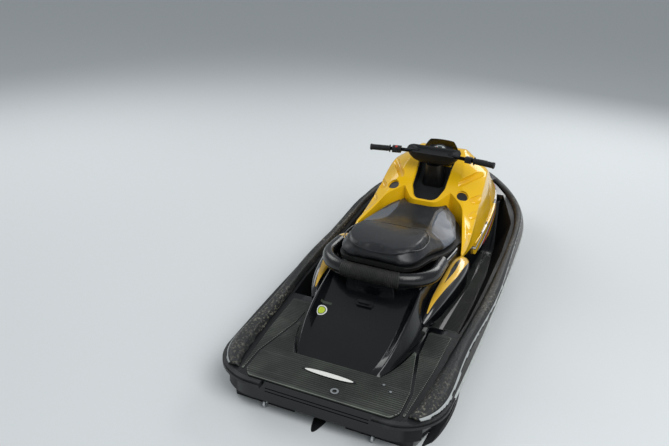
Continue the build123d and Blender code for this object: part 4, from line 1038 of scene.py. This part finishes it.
COLUMN_FOOT = Vector((0.235, 0, 0.760))
COLUMN_LEAN = math.radians(25)
BAR_INNER = (0.172, 0.046, 0.043)
BAR_OUTER = (0.364, 0.072, 0.049)
GRIP_LENGTH = 0.118
GRIP_RADIUS = 0.0165
BAR_RADIUS = 0.0112
RINGS = 13
RINGS_FROM = 0.012
RINGS_TO_END = 0.010
RING_RISE = 0.001
RING_SINK = 0.0008
GRIP_PAST_BAR = 0.006
# Radius and height of each point of the outline; the end's heights start from the grip's length
GRIP_FLANGE = [(BAR_RADIUS, 0.0), (0.022, 0.0), (0.023, 0.001), (0.023, 0.004), (0.0215, 0.005),
               (GRIP_RADIUS, 0.006)]
GRIP_END = [(0.0175, -0.009), (0.0188, -0.007), (0.0188, 0.001), (0.0172, 0.003), (0.006, 0.0032),
            (0, 0.0032)]


def on_column(point):
    """A point given to port, rearward and up the column."""
    to_port, rearward, up = point
    lean_sin = math.sin(COLUMN_LEAN)
    lean_cos = math.cos(COLUMN_LEAN)
    return COLUMN_FOOT + Vector((
        -rearward * lean_cos - up * lean_sin, to_port, -rearward * lean_sin + up * lean_cos
    ))


def bar_place(distance, side):
    """A place on the bar this far in from its end, with z looking outward along it."""
    inner = on_column(BAR_INNER)
    outer = on_column(BAR_OUTER)
    way = (outer - inner).normalized()
    spot = outer - way * distance
    mirror = Vector((1, side, 1))
    return facing(spot * mirror, way * mirror, across=(1, 0, 0))


def ringed_grip(name, node, side):
    """Rubber sleeve with a thumb flange, thirteen rings and a rounded end."""
    profile = GRIP_FLANGE[:]
    low = GRIP_RADIUS - RING_SINK
    high = GRIP_RADIUS + RING_RISE
    pitch = (GRIP_LENGTH - RINGS_FROM - RINGS_TO_END) / RINGS
    for index in range(RINGS):
        height = RINGS_FROM + index * pitch
        for radius, shift in ((low, 0), (high, 0.2), (high, 0.6), (low, 0.8)):
            profile.append((radius, height + shift * pitch))
    profile += [(radius, GRIP_LENGTH + height) for radius, height in GRIP_END]
    skin = spun(profile, bar_place(GRIP_LENGTH - GRIP_PAST_BAR, side), 40)
    piece = finished(name, skin, "handlebar", "grip", smooth=30)
    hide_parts(node)


ringed_grip("ringed_grip_port", "grip_port", 1)
ringed_grip("ringed_grip_starboard", "grip_starboard", -1)

STOP_RED = moulded_plastic("red_switch_plastic", "#B3261E", "#C8463A", 0.35, 0.003)
SWITCH_FROM_END = 0.152
STOP_WAY = (-0.6, 0, 0.8)
STOP_PROFILE = [
    (0.0, 0.0262), (0.005, 0.0261), (0.0072, 0.0255), (0.0078, 0.0248), (0.0078, 0.020),
]
switch_middle = bar_place(SWITCH_FROM_END, 1).translation
stop_cap = spun(STOP_PROFILE, facing(switch_middle, STOP_WAY))
finished("stop_switch_cap", stop_cap, "handlebar", "trim_black", STOP_RED)


# Dial under the gauge's rim

GAUGE_SPOT = Vector((0.362, 0, 0.764))
GAUGE_UP = (-0.3, 0, 0.95)
DIAL_RADIUS = 0.0378
TICKS = 31
TICKS_PER_LONG = 5
TICK_SWEEP = math.radians(270)
TICK_OUTER = 0.034
LONG_TICK_INNER = 0.0255
LONG_TICK_WIDTH = 0.0013
SHORT_TICK_INNER = 0.029
SHORT_TICK_WIDTH = 0.0007
INK_LIFT = 0.0009
INK_THICK = 0.0006
# Where each starts and ends from the dial's middle, and its width
DISPLAY = (0.012, 0.026, 0.026)
POINTER = (-0.006, 0.028, 0.0016)
POINTER_TURN = math.radians(-118)
POINTER_LIFT = 0.0024
POINTER_THICK = 0.0008
FACE_PROFILE = [(0.0, 0.0006), (DIAL_RADIUS - 0.001, 0.0006), (DIAL_RADIUS, 0.0001)]
HUB_PROFILE = [(0.0, 0.0042), (0.003, 0.004), (0.0042, 0.003), (0.0042, 0.0006)]


def dial_bar(skin, where, turn, near, far, width, lift, thick):
    """A thin bar on the dial, from near to far from its middle."""
    length = far - near
    shape = Matrix.Translation((0, near + length / 2, lift)) @ Matrix.Diagonal(
        (width, length, thick, 1)
    )
    turned = where @ Matrix.Rotation(turn, 4, "Z") @ shape
    bmesh.ops.create_cube(skin, size=1, matrix=turned)


def gauge_dial():
    """Pale dial with dark ticks, a red pointer, a small display and a hub."""
    where = facing(GAUGE_SPOT, GAUGE_UP)
    finished("dial_face", spun(FACE_PROFILE, where, 48), "craft", "gauge", DIAL_PAINT)
    marks = bmesh.new()
    for index in range(TICKS):
        turn = TICK_SWEEP * (index / (TICKS - 1) - 0.5)
        inner, width = SHORT_TICK_INNER, SHORT_TICK_WIDTH
        if index % TICKS_PER_LONG == 0:
            inner, width = LONG_TICK_INNER, LONG_TICK_WIDTH
        dial_bar(marks, where, turn, inner, TICK_OUTER, width, INK_LIFT, INK_THICK)
    dial_bar(marks, where, math.pi, *DISPLAY, INK_LIFT, INK_THICK)
    finished("dial_marks", marks, "craft", "gauge", DIAL_INK)
    pointer = bmesh.new()
    dial_bar(pointer, where, POINTER_TURN, *POINTER, POINTER_LIFT, POINTER_THICK)
    finished("dial_pointer", pointer, "craft", "gauge", STOP_RED)
    finished("dial_hub", spun(HUB_PROFILE, where), "craft", "gauge", DIAL_INK)


DIAL_PAINT = moulded_plastic("dial_paint", "#AEB6B4", "#C2C8C6", 0.3, 0.004)
DIAL_INK = moulded_plastic("dial_ink", "#101214", "#1A1C1F", 0.4, 0.004)
gauge_dial()


# Stickers on the tail panel, laid on the deck

deck_tree = skin_tree("deck")


def pressed_on(name, skin, film, lift):
    """A thin film pressed on to the deck, this far above it."""
    for vert in skin.verts:
        nearest, normal, _, _ = deck_tree.find_nearest(vert.co)
        vert.co = nearest + normal * lift
    finished(name, skin, "craft", "gelcoat_black", film)


WHITE_FILM = moulded_plastic("white_sticker_film", "#D9DCD6", "#C3C7C0", 0.3, 0.01)
GREEN_FILM = moulded_plastic("green_sticker_film", "#B5C832", "#9DB02A", 0.3, 0.01)
DARK_FILM = moulded_plastic("dark_sticker_film", "#3A4034", "#2C3128", 0.3, 0.01)

# The round sticker: three films on one spot, each over the last
ROUND_SPOT = (-0.962, 0.190, 0.2706)
ROUND_WAY = (-0.38, 0, 0.93)
ROUND_RINGS = 5
ROUND_FILMS = [
    # name, radius, film, lift off the deck
    ("round_sticker_edge", 0.030, WHITE_FILM, 0.0004),
    ("round_sticker_ring", 0.0235, DARK_FILM, 0.0007),
    ("round_sticker_middle", 0.0195, GREEN_FILM, 0.0010),
]
for name, radius, film, lift in ROUND_FILMS:
    rings = [(radius * share / ROUND_RINGS, 0) for share in range(ROUND_RINGS + 1)]
    pressed_on(name, spun(rings, facing(ROUND_SPOT, ROUND_WAY), 48), film, lift)

STRIP_SPOT = (-0.918, 0.187, 0.291)
STRIP_WAY = (-0.3, 0, 0.95)
STRIP_LENGTH = 0.066
STRIP_WIDTH = 0.014
STRIP_LIFT = 0.0004
strip = bmesh.new()
bmesh.ops.create_grid(strip, x_segments=12, y_segments=4, size=0.5)
bmesh.ops.scale(strip, vec=(STRIP_LENGTH, STRIP_WIDTH, 1), verts=strip.verts)
bmesh.ops.transform(strip, matrix=facing(STRIP_SPOT, STRIP_WAY), verts=strip.verts)
pressed_on("strip_sticker", strip, DARK_FILM, STRIP_LIFT)


# Floor, light and camera

FLOOR_HALF_SIDE = 60
floor_mesh = bmesh.new()
bmesh.ops.create_grid(floor_mesh, x_segments=1, y_segments=1, size=FLOOR_HALF_SIDE)
floor_data = bpy.data.meshes.new("floor")
floor_mesh.to_mesh(floor_data)
floor_mesh.free()
floor = bpy.data.objects.new("floor", floor_data)
bpy.context.scene.collection.objects.link(floor)
floor_paint, _ = new_material("pale_floor", "#D0D4D5", 0.9)
floor_data.materials.append(floor_paint)

world = bpy.data.worlds.new("studio")
world.use_nodes = True
background = world.node_tree.nodes["Background"]
background.inputs["Color"].default_value = linear("#DDE3E8")
background.inputs["Strength"].default_value = 0.5
bpy.context.scene.world = world


LIGHT_TARGET = Vector((0, 0, 0.3))
LIGHTS = [
    # name, place, width, height, watts
    ("key_light", (-3.2, -3.6, 5.0), 4.5, 4.5, 300),
    ("side_light", (1.0, 5.0, 4.0), 4.0, 3.0, 110),
    ("bow_light", (5.0, -1.5, 3.5), 4.0, 2.0, 120),
]


def softbox(name, centre, width, height, watts):
    """A soft rectangular light that looks at the craft."""
    data = bpy.data.lights.new(name, "AREA")
    data.shape = "RECTANGLE"
    data.size = width
    data.size_y = height
    data.energy = watts
    lamp = bpy.data.objects.new(name, data)
    bpy.context.scene.collection.objects.link(lamp)
    lamp.location = centre
    lamp.rotation_mode = "QUATERNION"
    lamp.rotation_quaternion = (LIGHT_TARGET - Vector(centre)).to_track_quat("-Z", "Y")


for row in LIGHTS:
    softbox(*row)

CAMERA_SPOT = Vector((-3.3831, -0.8300, 1.8390))
CAMERA_YAW = math.radians(21.855)
CAMERA_PITCH = math.radians(22.974)
CAMERA_ROLL = math.radians(2.613)
FOCAL_PIXELS = 633.69
PHOTO_WIDTH = 669


def photo_camera():
    """The camera where the photograph was taken from."""
    ahead = Vector((
        math.cos(CAMERA_PITCH) * math.cos(CAMERA_YAW),
        math.cos(CAMERA_PITCH) * math.sin(CAMERA_YAW),
        -math.sin(CAMERA_PITCH),
    ))
    right = ahead.cross(Vector((0, 0, 1))).normalized()
    up = right.cross(ahead)
    across = math.cos(CAMERA_ROLL) * right + math.sin(CAMERA_ROLL) * up
    upward = -math.sin(CAMERA_ROLL) * right + math.cos(CAMERA_ROLL) * up
    data = bpy.data.cameras.new("photo_camera")
    data.sensor_width = 36
    data.lens = FOCAL_PIXELS / PHOTO_WIDTH * data.sensor_width
    camera = bpy.data.objects.new("photo_camera", data)
    bpy.context.scene.collection.objects.link(camera)
    turn = Matrix((across, upward, -ahead)).transposed()
    camera.matrix_world = Matrix.Translation(CAMERA_SPOT) @ turn.to_4x4()
    bpy.context.scene.camera = camera


photo_camera()
bpy.context.scene.view_settings.view_transform = "Standard"
